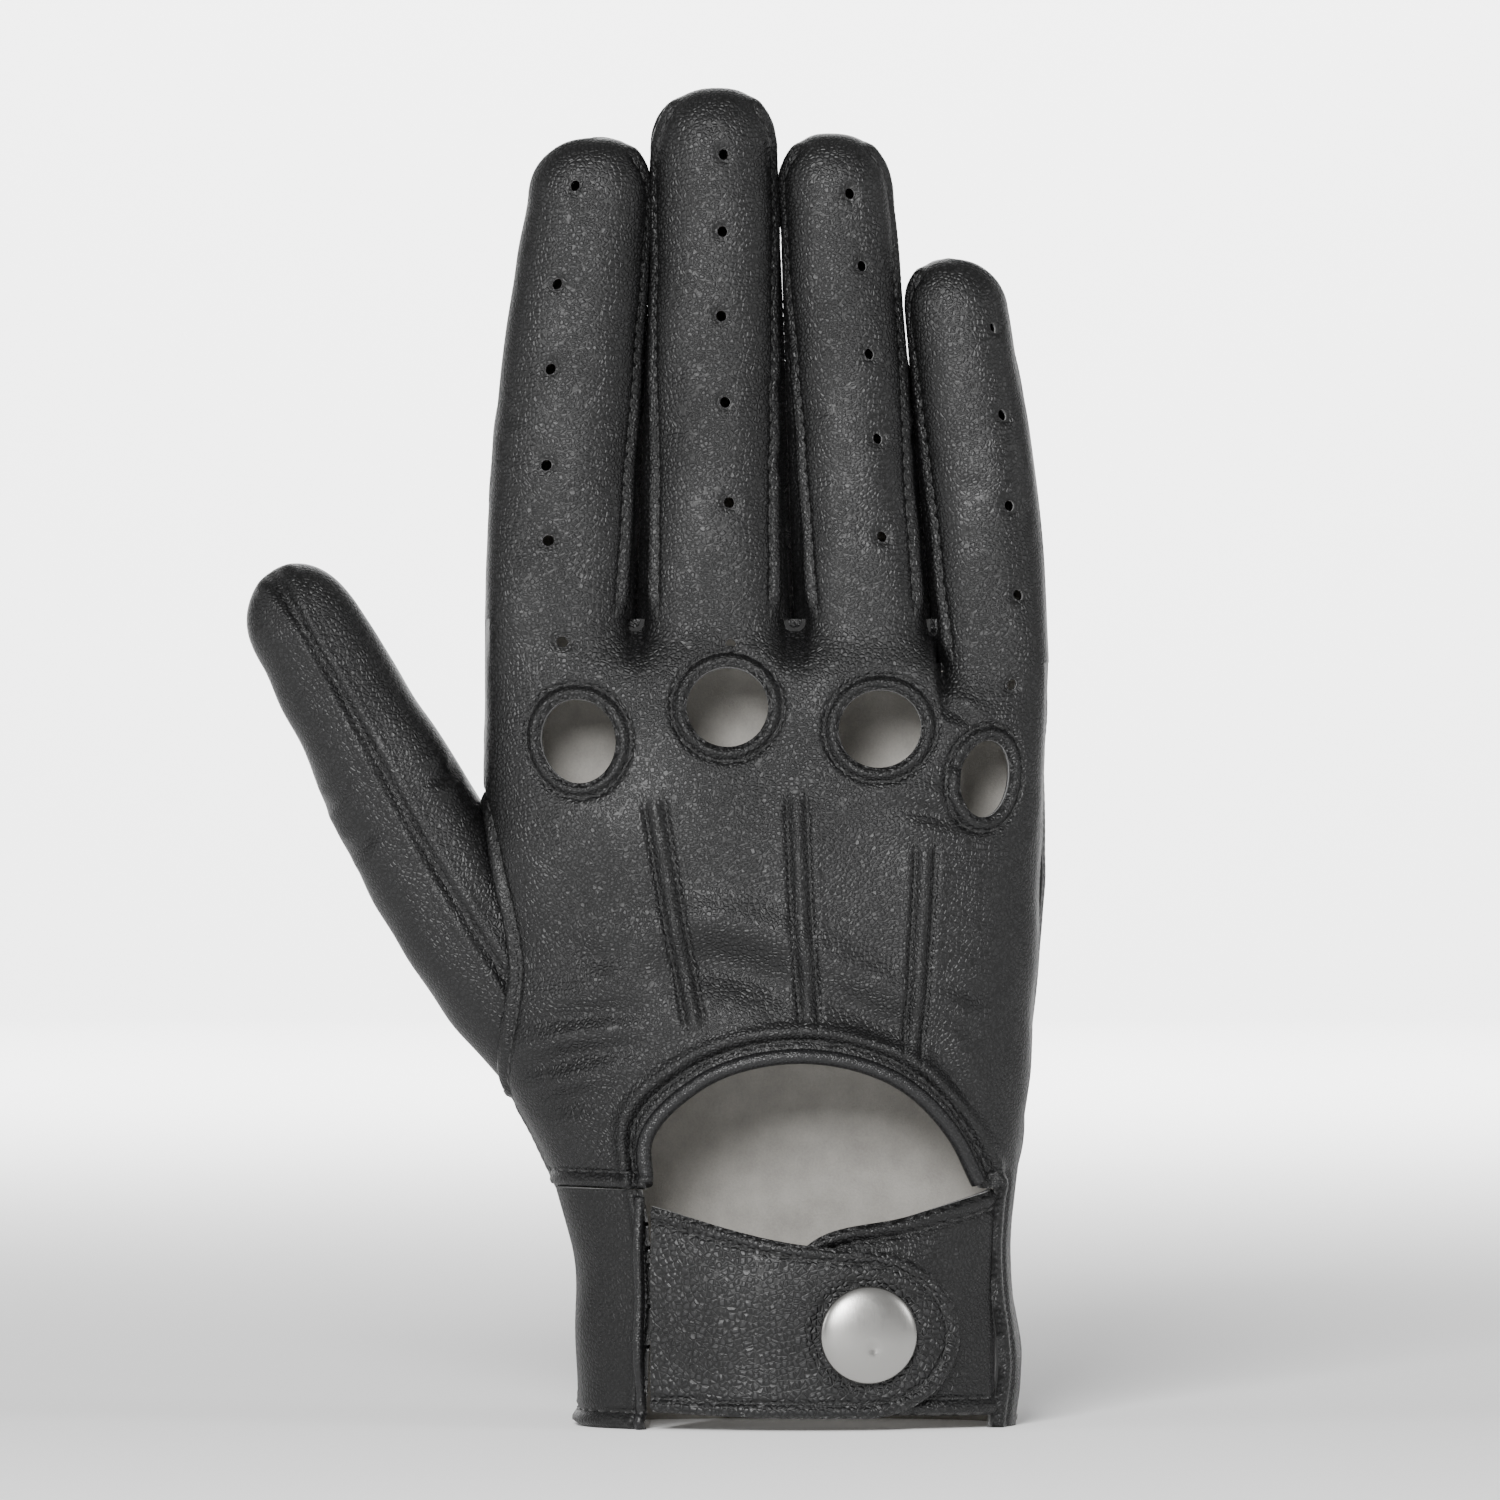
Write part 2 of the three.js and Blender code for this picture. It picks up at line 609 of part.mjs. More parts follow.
function snapSocket() {
  const [low, high] = [strapLift, strapLift + strapThickness];
  return lathe([
    [socketBore, low], [socketRadius, low], [socketRadius, high], [socketBore, high], [socketBore, low],
  ], 24);
}

function snapStud() {
  const head = socketBore - studClearance;
  const neck = head - studNeckDepth;
  const top = strapLift + strapThickness - seamGap;
  const flange = seamGap + studFlangeHeight;
  return lathe([
    [0, seamGap], [studFlangeRadius, seamGap], [studFlangeRadius, flange], [neck, mix(flange, top, 0.1)],
    [neck, mix(flange, top, 0.3)], [head, mix(flange, top, 0.5)], [head - 0.4, top], [0, top],
  ], 24);
}

function snapPost() {
  const back = -leather - seamGap;
  const foot = back - postFlangeHeight;
  return lathe([
    [0, foot], [postFlangeRadius, foot], [postFlangeRadius, back], [postRadius, back], [postRadius, 0], [0, 0],
  ], 20);
}

// ---------------------------------------------------------------- crotch folds

// A folded strip that closes the fork between two fingers, open side up
function crotchFold(points) {
  const halfDepth = crotchDepth / 2 - leather - 3 * seamGap;
  const shape = new THREE.Shape(points.map(([x, z]) => new THREE.Vector2(x, z)));
  return prism(shape, -halfDepth, halfDepth);
}

function addCrotchFolds() {
  fingers.slice(0, -1).forEach((finger, order) => {
    const next = fingers[order + 1];
    const slot = [fingerStart(order) + finger.base, fingerStart(order + 1)];
    const [left, right] = [slot[0] - foldThickness, slot[1] + foldThickness];
    const low = crotchHeight - next.drop - seamGap;
    const high = crotchHeight - finger.drop - seamGap;
    const foot = low - foldDip;
    const fold = crotchFold([
      [left, high], [left, foot], [right, foot], [right, low],
      [slot[1], low], [slot[1], foot + foldThickness], [slot[0], foot + foldThickness], [slot[0], high],
    ]);
    addPart(`crotch_fold_${finger.name}_${next.name}`, fold, sideLeather);
  });
}

// The hand is cut down by the little finger's drop beside the ring finger
function littleStep() {
  const little = fingers[fingers.length - 1];
  const from = rowEnd - little.base - fingerSpacing;
  const shape = new THREE.Shape();
  shape.moveTo(from, crotchHeight - little.drop);
  shape.lineTo(rowEnd + 5, crotchHeight - little.drop);
  shape.lineTo(rowEnd + 5, crotchHeight + 5);
  shape.lineTo(from, crotchHeight + 5);
  return prism(shape, -cuffDepth, cuffDepth);
}

// ---------------------------------------------------------------- assembly

const thumbInside = solidThrough((u, v) => tubePoint(thumb, mix(0, thumbGussetLength, v), 2 * Math.PI * u, leather), 24, 8);

function handBack() {
  const back = sheet(handSkin(Math.PI, 2 * Math.PI, halfGap.clone().negate()), 30, 16);
  return cutAway(back, littleStep(), openingCut(), thumbInside, ...knuckleHoles.map(holePlug));
}

function handPalm() {
  const palm = sheet(handSkin(Math.PI, 0, halfGap), 24, 14);
  return cutAway(palm, littleStep(), thumbInside);
}

addPart('hand_back', handBack(), blackLeather);
addPart('hand_palm', handPalm(), blackLeather);
fingers.forEach(addFinger);
addCrotchFolds();
addThumb();
for (const hole of knuckleHoles) addPart(`knuckle_facing_${hole.name}`, facing(hole), blackLeather);
addPart('opening_binding', openingBinding(), blackLeather);
addPart('cuff_side_panel', cuffSidePanel(), sideLeather);
addPart('strap_seam_piping', seamPiping(), sideLeather);
addPart('strap', strap(), strapLeather);
addPart('under_strap', underStrap(), blackLeather);
addPart('snap_cap', snapCap(), nickel, snap);
addPart('snap_socket', snapSocket(), nickel, snap);
addPart('snap_stud', snapStud(), nickel, snap);
addPart('snap_post', snapPost(), nickel, snap);

export default glove;
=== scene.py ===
"""Looks of a right-hand driving glove in thin black leather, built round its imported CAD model.

Lengths in this script are millimetres until a mesh is made, where they become metres. X runs from
the thumb side to the little finger, Y from the back of the hand to the palm, and Z up the fingers.
Each leather piece is cut flat, as a pattern piece: an outline, holes, and a skin that says where a
flat point goes. Seam lips, tucks and creases are lines drawn on the flat piece.
"""

import json
import math

import bpy
import numpy as np
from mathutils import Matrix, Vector
from mathutils.geometry import delaunay_2d_cdt


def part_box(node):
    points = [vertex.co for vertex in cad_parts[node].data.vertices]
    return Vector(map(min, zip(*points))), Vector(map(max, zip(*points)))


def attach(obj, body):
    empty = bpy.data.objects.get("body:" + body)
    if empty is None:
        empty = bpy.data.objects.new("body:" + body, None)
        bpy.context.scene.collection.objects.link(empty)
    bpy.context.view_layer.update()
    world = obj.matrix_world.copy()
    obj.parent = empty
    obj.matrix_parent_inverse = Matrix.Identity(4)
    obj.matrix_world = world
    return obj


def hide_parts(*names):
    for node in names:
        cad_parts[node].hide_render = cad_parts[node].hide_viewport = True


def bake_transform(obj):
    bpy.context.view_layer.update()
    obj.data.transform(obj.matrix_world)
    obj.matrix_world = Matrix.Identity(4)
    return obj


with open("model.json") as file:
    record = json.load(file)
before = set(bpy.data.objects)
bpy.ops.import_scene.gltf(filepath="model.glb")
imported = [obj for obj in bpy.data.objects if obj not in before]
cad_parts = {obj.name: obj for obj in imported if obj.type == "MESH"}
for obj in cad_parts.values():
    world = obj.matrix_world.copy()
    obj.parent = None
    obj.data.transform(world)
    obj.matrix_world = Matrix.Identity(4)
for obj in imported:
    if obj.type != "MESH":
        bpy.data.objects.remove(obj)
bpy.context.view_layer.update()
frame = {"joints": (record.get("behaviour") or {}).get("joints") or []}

MM = 0.001
SEED = 11

# ---- sizes taken from the frame


def box_mm(node):
    """The lowest and the highest corner of a CAD piece."""
    low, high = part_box(node)
    return np.array(low) / MM, np.array(high) / MM


def joint_mm(name):
    """A joint's place, and the direction of its axis."""
    joint = next(j for j in frame["joints"] if j["name"] == name)
    return np.array(joint["pos_m"]) / MM, np.array(joint["axis"])


LEATHER = 1.1  # thickness of the glove's leather
HALF_GAP = 0.3  # half the slit between two sewn pieces of the CAD model
CROTCH = box_mm("hand_back")[1][2]  # height at which the fingers part
CUFF_WIDTH = 74.8
CUFF_DEPTH = box_mm("hand_palm")[1][1] * 2 - HALF_GAP
KNUCKLE_DEPTH = 30.0
CROTCH_DEPTH = 20.4
FINGER_BASE_DEPTH = 18.8
FINGER_TOP_DEPTH = 15.6
SEAM_ANGLE = math.radians(30)  # half the opening of a finger's side, at the crotch
TIP_ARC = 1.35  # length over a domed tip, for its height
SMALLEST = 1e-4  # keeps a closed tip from dividing by nothing
FINGER_NAMES = ("index", "middle", "ring", "little")
SIDES = ("thumbside", "littleside")
OUTWARD_SWELL = {"index": -1.7, "little": 1.6}  # the outer fingers bow outwards
FINGER_TOPS = {"index": 21.0, "middle": 20.8, "ring": 18.6, "little": 17.0}  # widths under the tips


def ease(t):
    """A soft step from 0 to 1."""
    t = np.clip(t, 0, 1)
    return t * t * (3 - 2 * t)


def bump(x):
    return np.exp(-np.square(x))


def through(z, knots, values):
    """A smooth curve through a table of values."""
    knots, values = np.array(knots, float), np.array(values, float)
    slopes = np.gradient(values, knots)
    i = np.clip(np.searchsorted(knots, z, side="right") - 1, 0, len(knots) - 2)
    step = knots[i + 1] - knots[i]
    t = np.clip((z - knots[i]) / step, 0, 1)
    rise = values[i + 1] - values[i]
    a = slopes[i] * step
    b = slopes[i + 1] * step
    return values[i] + a * t + (3 * rise - 2 * a - b) * t**2 + (a + b - 2 * rise) * t**3


# ---- the form of the hand and fingers


def round_corner(theta, squareness):
    """How far a square-shouldered oval reaches at an angle, next to a circle."""
    powers = np.abs(np.cos(theta)) ** squareness + np.abs(np.sin(theta)) ** squareness
    return powers ** (-1 / squareness)


def seen_angle(x, centre, half_width, squareness, limit=0.9995):
    """The angle on a square-shouldered oval of a place seen from the back."""
    share = np.clip(np.abs(x - centre) / half_width, 1e-3, limit)
    rise = np.arctan((share**-squareness - 1) ** (1 / squareness))
    return np.where(x < centre, rise, math.pi - rise)


def arc_table(half_width, half_depth, squareness):
    """Flat width round one side of an oval, from its thumb edge, against the angle there."""
    theta = np.linspace(0, math.pi, 721)
    reach = round_corner(theta, squareness)
    x = -half_width * reach * np.cos(theta)
    y = half_depth * reach * np.sin(theta)
    length = np.concatenate([[0], np.cumsum(np.hypot(np.diff(x), np.diff(y)))])
    return length, theta


class Tube:
    """A finger's or the thumb's tube. Levels are lengths up it from its root, going round the tip."""

    def set_height(self, height, dome):
        self.dome, self.straight = dome, height - dome
        self.dome_arc = TIP_ARC * dome
        self.length = self.straight + self.dome_arc

    def round_tip(self, level):
        """The angle that a level has reached round the tip."""
        return np.clip((level - self.straight) / self.dome_arc, 0, 1) * math.pi / 2


class Finger(Tube):
    """One finger's tube. Angle 0 is its edge on the thumb's side, and half a turn the other edge."""

    def __init__(self, name):
        base, middle = joint_mm(f"{name}_base_bend")[0], joint_mm(f"{name}_middle_bend")[0]
        low, high = box_mm(f"{name}_back_lower")
        self.name = name
        self.root_z = low[2] - HALF_GAP
        self.lean = (middle[0] - base[0]) / (middle[2] - base[2])
        self.root_x = base[0] - self.lean * (base[2] - self.root_z)
        self.half_base = min(self.root_x - low[0], high[0] - self.root_x)
        self.half_top = FINGER_TOPS[name] / 2
        self.set_height(box_mm(f"{name}_back_upper")[1][2] - self.root_z, 0.52 * self.half_top * 2)
        self.joint = middle[2] - self.root_z
        self.split = 2 * (base[2] - self.root_z)
        outer = {"index": "thumbside", "little": "littleside"}.get(name)
        self.strips = [which for which in SIDES if which != outer]
        half_width = (self.half_base + self.half_top) / 2
        self.arc, self.theta = arc_table(half_width, FINGER_BASE_DEPTH / 2, 2.6)
        self.middle_arc = self.arc[-1] / 2

    def section(self, level):
        """Centre, half width, half depth, squareness and height at a level."""
        share = np.clip(level / self.straight, 0, 1)
        tip = self.round_tip(level)
        closing = np.maximum(np.cos(tip), SMALLEST) ** 0.8
        swell = np.sin(share * math.pi) * OUTWARD_SWELL.get(self.name, 0.0) / 2
        half_width = self.half_base + (self.half_top - self.half_base) * share + np.abs(swell)
        depth = FINGER_BASE_DEPTH + (FINGER_TOP_DEPTH - FINGER_BASE_DEPTH) * share
        height = np.clip(level, -30, self.straight) + self.dome * np.sin(tip)
        squareness = 3.2 - 0.8 * ease(level / 25)
        centre = self.root_x + self.lean * height + swell
        return centre, half_width * closing, depth / 2 * closing, squareness, height

    def point(self, theta, level, side):
        centre, half_width, half_depth, squareness, height = self.section(level)
        reach = round_corner(theta, squareness)
        x = centre - half_width * reach * np.cos(theta)
        y = side * half_depth * reach * np.sin(theta)
        return np.stack([x, y, self.root_z + height], -1)

    def flat(self, theta, level):
        """Flat pattern place of an angle and level: across from the middle, and up."""
        across = (np.interp(theta, self.theta, self.arc) - self.middle_arc) * np.cos(self.round_tip(level))
        return np.stack([across, level + 0 * across], -1)

    def unflat(self, uv):
        across = uv[:, 0] / np.maximum(np.cos(self.round_tip(uv[:, 1])), SMALLEST)
        return np.interp(across + self.middle_arc, self.arc, self.theta), uv[:, 1]

    def seam(self, level):
        """The angle at which the side strip meets the back, widest at the crotch."""
        return SEAM_ANGLE * np.clip(1 - level / self.straight, 0, 1)

    def flat_of(self, x, z):
        """Flat place of a point seen from the back, on the straight part."""
        level = np.array([z - self.root_z])
        centre, half_width, _, squareness, _ = self.section(level)
        return self.flat(seen_angle(x, centre, half_width, squareness, 0.999), level)[0]

    def foot(self, level):
        """The middle of the tube at a level, where a bend starts or ends."""
        return self.root_x + self.lean * level, 0, self.root_z + level


FINGERS = {name: Finger(name) for name in FINGER_NAMES}
ROW_START = FINGERS["index"].root_x - FINGERS["index"].half_base
ROW_END = FINGERS["little"].root_x + FINGERS["little"].half_base
LITTLE_STEP_X = FINGERS["little"].root_x - FINGERS["little"].half_base - 0.55
LITTLE_DROP = CROTCH - FINGERS["little"].root_z

# Stations up the hand: share of the crotch height, thumb side and little side from the cuff's edge
# (0) to the finger row's edge (1), depth, squareness
STATIONS = np.array([
    (-0.10, 0.000, 0.060, CUFF_DEPTH, 2.2),
    (0.00, 0.000, 0.080, CUFF_DEPTH, 2.2),
    (0.07, -0.005, 0.200, CUFF_DEPTH, 2.2),
    (0.17, 0.010, -0.020, CUFF_DEPTH, 2.2),
    (0.28, 0.180, 0.000, CUFF_DEPTH - 3, 2.2),
    (0.355, 0.460, 0.280, CUFF_DEPTH - 6, 2.3),
    (0.43, 0.820, 0.450, CUFF_DEPTH - 6, 2.4),
    (0.58, 0.970, 0.740, CUFF_DEPTH - 9, 2.7),
    (0.77, 1.000, 0.870, KNUCKLE_DEPTH, 3.0),
    (0.90, 1.000, 0.950, (KNUCKLE_DEPTH + CROTCH_DEPTH) / 2, 3.4),
    (1.00, 1.000, 1.000, CROTCH_DEPTH, 3.8),
    (1.10, 1.000, 1.000, CROTCH_DEPTH - 5, 3.8),
])
HAND_ARC, HAND_THETA = arc_table(48.0, KNUCKLE_DEPTH / 2, 2.8)
HAND_MIDDLE = HAND_ARC[-1] / 2


def hand_section(z):
    """Centre, half width, half depth and squareness of the hand at a height."""
    share = np.asarray(z, float) / CROTCH
    column = [through(share, STATIONS[:, 0], STATIONS[:, k]) for k in range(1, 5)]
    left = -CUFF_WIDTH / 2 + (ROW_START + CUFF_WIDTH / 2) * column[0]
    right = CUFF_WIDTH / 2 + (ROW_END - CUFF_WIDTH / 2) * column[1]
    return (left + right) / 2, (right - left) / 2, column[2] / 2, column[3]


def finger_row_depth(x):
    """Half depth of the four finger tubes side by side, where they leave the hand."""
    best = np.full(np.shape(x), 3.2)
    for finger in FINGERS.values():
        share = np.clip(np.abs(x - finger.root_x) / finger.half_base, 0, 1)
        best = np.maximum(best, FINGER_BASE_DEPTH / 2 * (1 - share**3.2) ** (1 / 3.2))
    edge = np.minimum(x - ROW_START, ROW_END - x)
    return best * np.clip(edge / 0.8, 0, 1) ** 0.5


def hand_point(theta, z, side):
    """A place on the hand: side is -1 on the back and 1 on the palm. It turns into the fingers' tubes."""
    centre, half_width, half_depth, squareness = hand_section(z)
    reach = round_corner(theta, squareness)
    x = centre - half_width * reach * np.cos(theta)
    depth = half_depth * reach * np.sin(theta)
    top = CROTCH - LITTLE_DROP * ease((x - LITTLE_STEP_X + 1) / 2)
    near = ease((z - top + 13) / 13)
    depth = depth + (finger_row_depth(x) - depth) * near * near
    return np.stack([x, side * depth, z + 0 * x], -1)


def hand_flat(theta, z):
    across = np.interp(theta, HAND_THETA, HAND_ARC) - HAND_MIDDLE
    return np.stack([across + 0 * z, z + 0 * across], -1)


def hand_unflat(uv):
    return np.interp(uv[:, 0] + HAND_MIDDLE, HAND_ARC, HAND_THETA), uv[:, 1]


def hand_flat_of(x, z):
    """Flat place of a point of the hand seen from the back."""
    x, z = np.atleast_1d(np.asarray(x, float)), np.atleast_1d(np.asarray(z, float))
    centre, half_width, _, squareness = hand_section(z)
    return hand_flat(seen_angle(x, centre, half_width, squareness), z)


def on_hand(points):
    """A list of places seen from the back, as a line on the flat piece."""
    x, z = np.array(points, float).T
    return hand_flat_of(x, z)


# ---- lines drawn on a flat piece

STITCH_INSET = 2.9
RIM_INSET = 2.5
TUCK_HALF_WIDTH = 1.7


def smooth_line(points, spacing=1.0, closed=False):
    """A smooth line through a few points, in even steps."""
    points = np.array(points, float)
    if closed:
        points = np.vstack([points, points[:1]])
    knots = np.concatenate([[0], np.cumsum(np.linalg.norm(np.diff(points, axis=0), axis=1))])
    count = max(2, int(round(knots[-1] / spacing)) + 1)
    t = np.linspace(0, knots[-1], count)
    if closed:
        padded = np.vstack([points[-3:-1], points, points[1:3]])
        knots = np.concatenate([knots[-3:-1] - knots[-1], knots, knots[-1] + knots[1:3]])
        points = padded
    line = np.stack([through(t, knots, points[:, k]) for k in range(points.shape[1])], -1)
    return line[:-1] if closed else line


def nearest_on(line, uv, closed=False):
    """Distance to a line, the direction to it, which side, and the share of its length there."""
    ends = np.vstack([line, line[:1]]) if closed else line
    steps = np.linalg.norm(np.diff(ends, axis=0), axis=1)
    start = np.concatenate([[0], np.cumsum(steps)])
    best = np.full(len(uv), np.inf)
    toward = np.zeros((len(uv), 2))
    side = np.ones(len(uv))
    share = np.zeros(len(uv))
    for k in range(len(ends) - 1):
        a, d = ends[k], ends[k + 1] - ends[k]
        t = np.clip(((uv - a) @ d) / max(d @ d, 1e-12), 0, 1)
        gap = a + t[:, None] * d - uv
        distance = np.hypot(gap[:, 0], gap[:, 1])
        closer = distance < best
        best = np.where(closer, distance, best)
        toward[closer] = gap[closer]
        side[closer] = np.sign(d[0] * gap[closer, 1] - d[1] * gap[closer, 0])
        share[closer] = (start[k] + t[closer] * steps[k]) / start[-1]
    toward /= np.maximum(best, 1e-9)[:, None]
    return best, toward, side, share


class Line:
    """A seam, tuck or crease: a line on the flat piece, and the height of the leather beside it.

    profile(d) gives the height at a distance d, or at a signed distance if two_sided. The height
    fades out near reach, and over a share fade of the line at each of its ends.
    """

    def __init__(self, points, profile, reach, closed=False, two_sided=False, fade=0.0):
        self.points, self.profile, self.reach = np.asarray(points, float), profile, reach
        self.closed, self.two_sided, self.fade = closed, two_sided, fade

    def heights(self, uv):
        """Height and its slope over the flat piece at each point."""
        height, slope = np.zeros(len(uv)), np.zeros((len(uv), 2))
        low, high = self.points.min(0) - self.reach, self.points.max(0) + self.reach
        close = np.all((uv >= low) & (uv <= high), axis=1)
        if not close.any():
            return height, slope
        d, toward, side, share = nearest_on(self.points, uv[close], self.closed)
        sign = side if self.two_sided else np.ones(len(d))
        step = 0.02
        value = self.profile(d * sign)
        rate = (self.profile((d + step) * sign) - self.profile(np.maximum(d - step, 0) * sign)) / (2 * step)
        keep = ease((self.reach - d) / (0.25 * self.reach))
        if self.fade:
            keep = keep * ease(share / self.fade) * ease((1 - share) / self.fade)
        height[close] = value * keep
        slope[close] = -(rate * keep)[:, None] * toward
        return height, slope


def crease(points, depth, width, lean=0.0, fade=0.35):
    """A soft valley with a rise beside it; lean puts the rise on one side."""
    def profile(d):
        valley = -depth * bump(d / width)
        rise = depth * 0.45 * bump((np.abs(d) - 1.9 * width) / (0.9 * width)) * (1 + lean * np.sign(d))
        return valley + rise
    return Line(smooth_line(points), profile, 4.5 * width, two_sided=True, fade=fade)


def tuck(points):
    """A pinched ridge between two rows of stitches."""
    def profile(d):
        rows = 0.5 * bump((np.abs(d) - TUCK_HALF_WIDTH) / 0.5)
        return 0.75 * bump(d / 1.15) - rows + 0.15 * bump((np.abs(d) - 3) / 1)
    return Line(smooth_line(points), profile, 5, fade=0.06)


def edge_roll(d, width, drop):
    """A cut edge that rolls down towards the flesh side."""
    return -drop * np.clip(1 - d / width, 0, 1) ** 2


def seam_lip(d):
    """A turned edge, a raised lip and the row of stitches that holds it down."""
    return 0.65 * bump((d - 1.2) / 1.0) - 0.45 * bump((d - STITCH_INSET) / 0.5) + edge_roll(d, 0.8, 0.8)


def closed_seam(d):
    """Two pieces drawn together from inside: a narrow valley, no stitches to see."""
    return -0.55 * bump(d / 0.7) + 0.12 * bump((d - 1.6) / 0.8)


# ---- pieces of leather


class Skin:
    """Where a flat piece lies: a smooth form, with the lines drawn on it.

    facing is 1 if the grain side faces the way that across and up turn, as on the back of the
    hand, and -1 if it faces the other way.
    """

    def __init__(self, form, lines=(), facing=1):
        self.form, self.lines, self.facing = form, list(lines), facing

    def at(self, uv):
        """Place and outward direction of the grain side at flat points."""
        step = 0.25
        here = self.form(uv)
        across = (self.form(uv + [step, 0]) - self.form(uv - [step, 0])) / (2 * step)
        up = (self.form(uv + [0, step]) - self.form(uv - [0, step])) / (2 * step)
        out = np.cross(across, up) * self.facing
        out /= np.maximum(np.linalg.norm(out, axis=1), 1e-9)[:, None]
        height, slope = np.zeros(len(uv)), np.zeros((len(uv), 2))
        for line in self.lines:
            h, s = line.heights(uv)
            height += h
            slope += s
        scale_u = np.maximum(np.sum(across**2, 1), 0.05)
        scale_v = np.maximum(np.sum(up**2, 1), 0.05)
        tilt = across * (slope[:, 0] / scale_u)[:, None] + up * (slope[:, 1] / scale_v)[:, None]
        normal = out - tilt
        normal /= np.linalg.norm(normal, axis=1)[:, None]
        return here + out * height[:, None], normal, out


def inside(loop, points):
    """Which points lie inside a closed loop."""
    x, y = points.T
    found = np.zeros(len(points), bool)
    for (ax, ay), (bx, by) in zip(loop, np.roll(loop, -1, axis=0)):
        if ay != by:
            crosses = (ay > y) != (by > y)
            found ^= crosses & (x < (bx - ax) * (y - ay) / (by - ay) + ax)
    return found


def cut_flat(outline, holes, spacing):
    """Triangles over a flat outline with holes: points and faces."""
    low, high = outline.min(0), outline.max(0)
    grid = []
    for k, v in enumerate(np.arange(low[1], high[1], spacing * math.sqrt(3) / 2)):
        us = np.arange(low[0] + (k % 2) * spacing / 2, high[0], spacing)
        grid.append(np.stack([us, np.full(len(us), v)], -1))
    grid = np.vstack(grid)
    grid = grid[inside(outline, grid)]
    points, edges = [], []
    for loop in [outline, *holes]:
        near = np.all((grid >= loop.min(0) - spacing) & (grid <= loop.max(0) + spacing), axis=1)
        distance = nearest_on(loop, grid[near], closed=True)[0]
        keep = np.ones(len(grid), bool)
        keep[np.flatnonzero(near)[distance < 0.45 * spacing]] = False
        if loop is not outline:
            keep &= ~inside(loop, grid)
        grid = grid[keep]
        first = len(points)
        points.extend(map(tuple, loop))
        edges.extend((first + k, first + (k + 1) % len(loop)) for k in range(len(loop)))
    points.extend(map(tuple, grid))
    made = delaunay_2d_cdt(points, edges, [], 0, 1e-5)
    flat = np.array([tuple(p) for p in made[0]], float)
    faces = np.array([f for f in made[2] if len(f) == 3], int)
    middles = flat[faces].mean(1)
    keep = inside(outline, middles)
    for hole in holes:
        keep &= ~inside(hole, middles)
    return flat, faces[keep]


def mesh_object(name, points_mm, faces, materials, face_materials=None, loop_normals=None):
    """A smooth-shaded mesh, with its places turned from millimetres to metres."""
    mesh = bpy.data.meshes.new(name)
    mesh.from_pydata((np.asarray(points_mm) * MM).tolist(), [], [list(map(int, f)) for f in faces])
    for material in materials:
        mesh.materials.append(material)
    if face_materials is not None:
        mesh.polygons.foreach_set("material_index", np.asarray(face_materials, np.int32))
    mesh.polygons.foreach_set("use_smooth", np.ones(len(mesh.polygons), bool))
    if loop_normals is not None:
        mesh.normals_split_custom_set(loop_normals.tolist())
    mesh.update()
    piece = bpy.data.objects.new(name, mesh)
    bpy.context.scene.collection.objects.link(piece)
    return piece


def leather_piece(name, skin, outline, holes=(), spacing=0.8, thickness=LEATHER, materials=None):
    """A cut piece of leather with its grain side, flesh side and cut edges."""
    flat, faces = cut_flat(np.asarray(outline), [np.asarray(h) for h in holes], spacing)
    outer, normal, out = skin.at(flat)
    corner = outer[faces]
    turned_to = np.cross(corner[:, 1] - corner[:, 0], corner[:, 2] - corner[:, 0])
    flip = np.sum(turned_to * out[faces].mean(1), 1) < 0
    faces[flip] = faces[flip][:, ::-1]
    count = len(flat)
    sides = {(a, b) for k in range(3) for a, b in zip(faces[:, k].tolist(), faces[:, (k + 1) % 3].tolist())}
    rim = sorted((a, b) for a, b in sides if (b, a) not in sides)
    quads = [(a, a + count, b + count, b) for a, b in rim]
    all_faces = [*faces.tolist(), *(faces[:, ::-1] + count).tolist(), *quads]
    normals = np.concatenate([
        normal[faces].reshape(-1, 3),
        -out[faces[:, ::-1]].reshape(-1, 3),
        np.zeros((4 * len(quads), 3)),
    ])
    slots = [0] * len(faces) + [1] * len(faces) + [2] * len(quads)
    points = np.vstack([outer, outer - out * thickness])
    return mesh_object(name, points, all_faces, materials or LEATHER_SET, slots, normals)


def cord_piece(name, path, radius, material, sides=14):
    """A round roll of leather along a path of places, closed at both ends."""
    along = np.gradient(path, axis=0)
    first = np.cross(along, [0.0, 1.0, 0.0])
    second = np.cross(along, first)
    first, second = (v / np.linalg.norm(v, axis=1)[:, None] for v in (first, second))
    turn = np.linspace(0, 2 * math.pi, sides, endpoint=False)[None, :, None]
    ring = first[:, None] * np.cos(turn) + second[:, None] * np.sin(turn)
    points = np.vstack([(path[:, None] + ring * radius).reshape(-1, 3), path[:1], path[-1:]])
    faces = [face[::-1] for face in lathe_faces(len(path), sides)]
    return mesh_object(name, points, faces, [material])


def lathe_faces(rings, sides, closed=False):
    """Faces over a row of rings of points, which meet end to end or finish in two middle points."""
    faces = []
    for j in range(sides):
        after = (j + 1) % sides
        for k in range(rings if closed else rings - 1):
            low, high = k * sides, (k + 1) % rings * sides
            faces.append((low + j, low + after, high + after, high + j))
        if not closed:
            last, middle = (rings - 1) * sides, rings * sides
            faces.append((middle, after, j))
            faces.append((middle + 1, last + j, last + after))
    return faces


# ---- materials


def linear(text):
    """An sRGB hex colour as linear values with alpha."""
    channels = [int(text[k:k + 2], 16) / 255 for k in (1, 3, 5)]
    return [c / 12.92 if c <= 0.04045 else ((c + 0.055) / 1.055) ** 2.4 for c in channels] + [1]


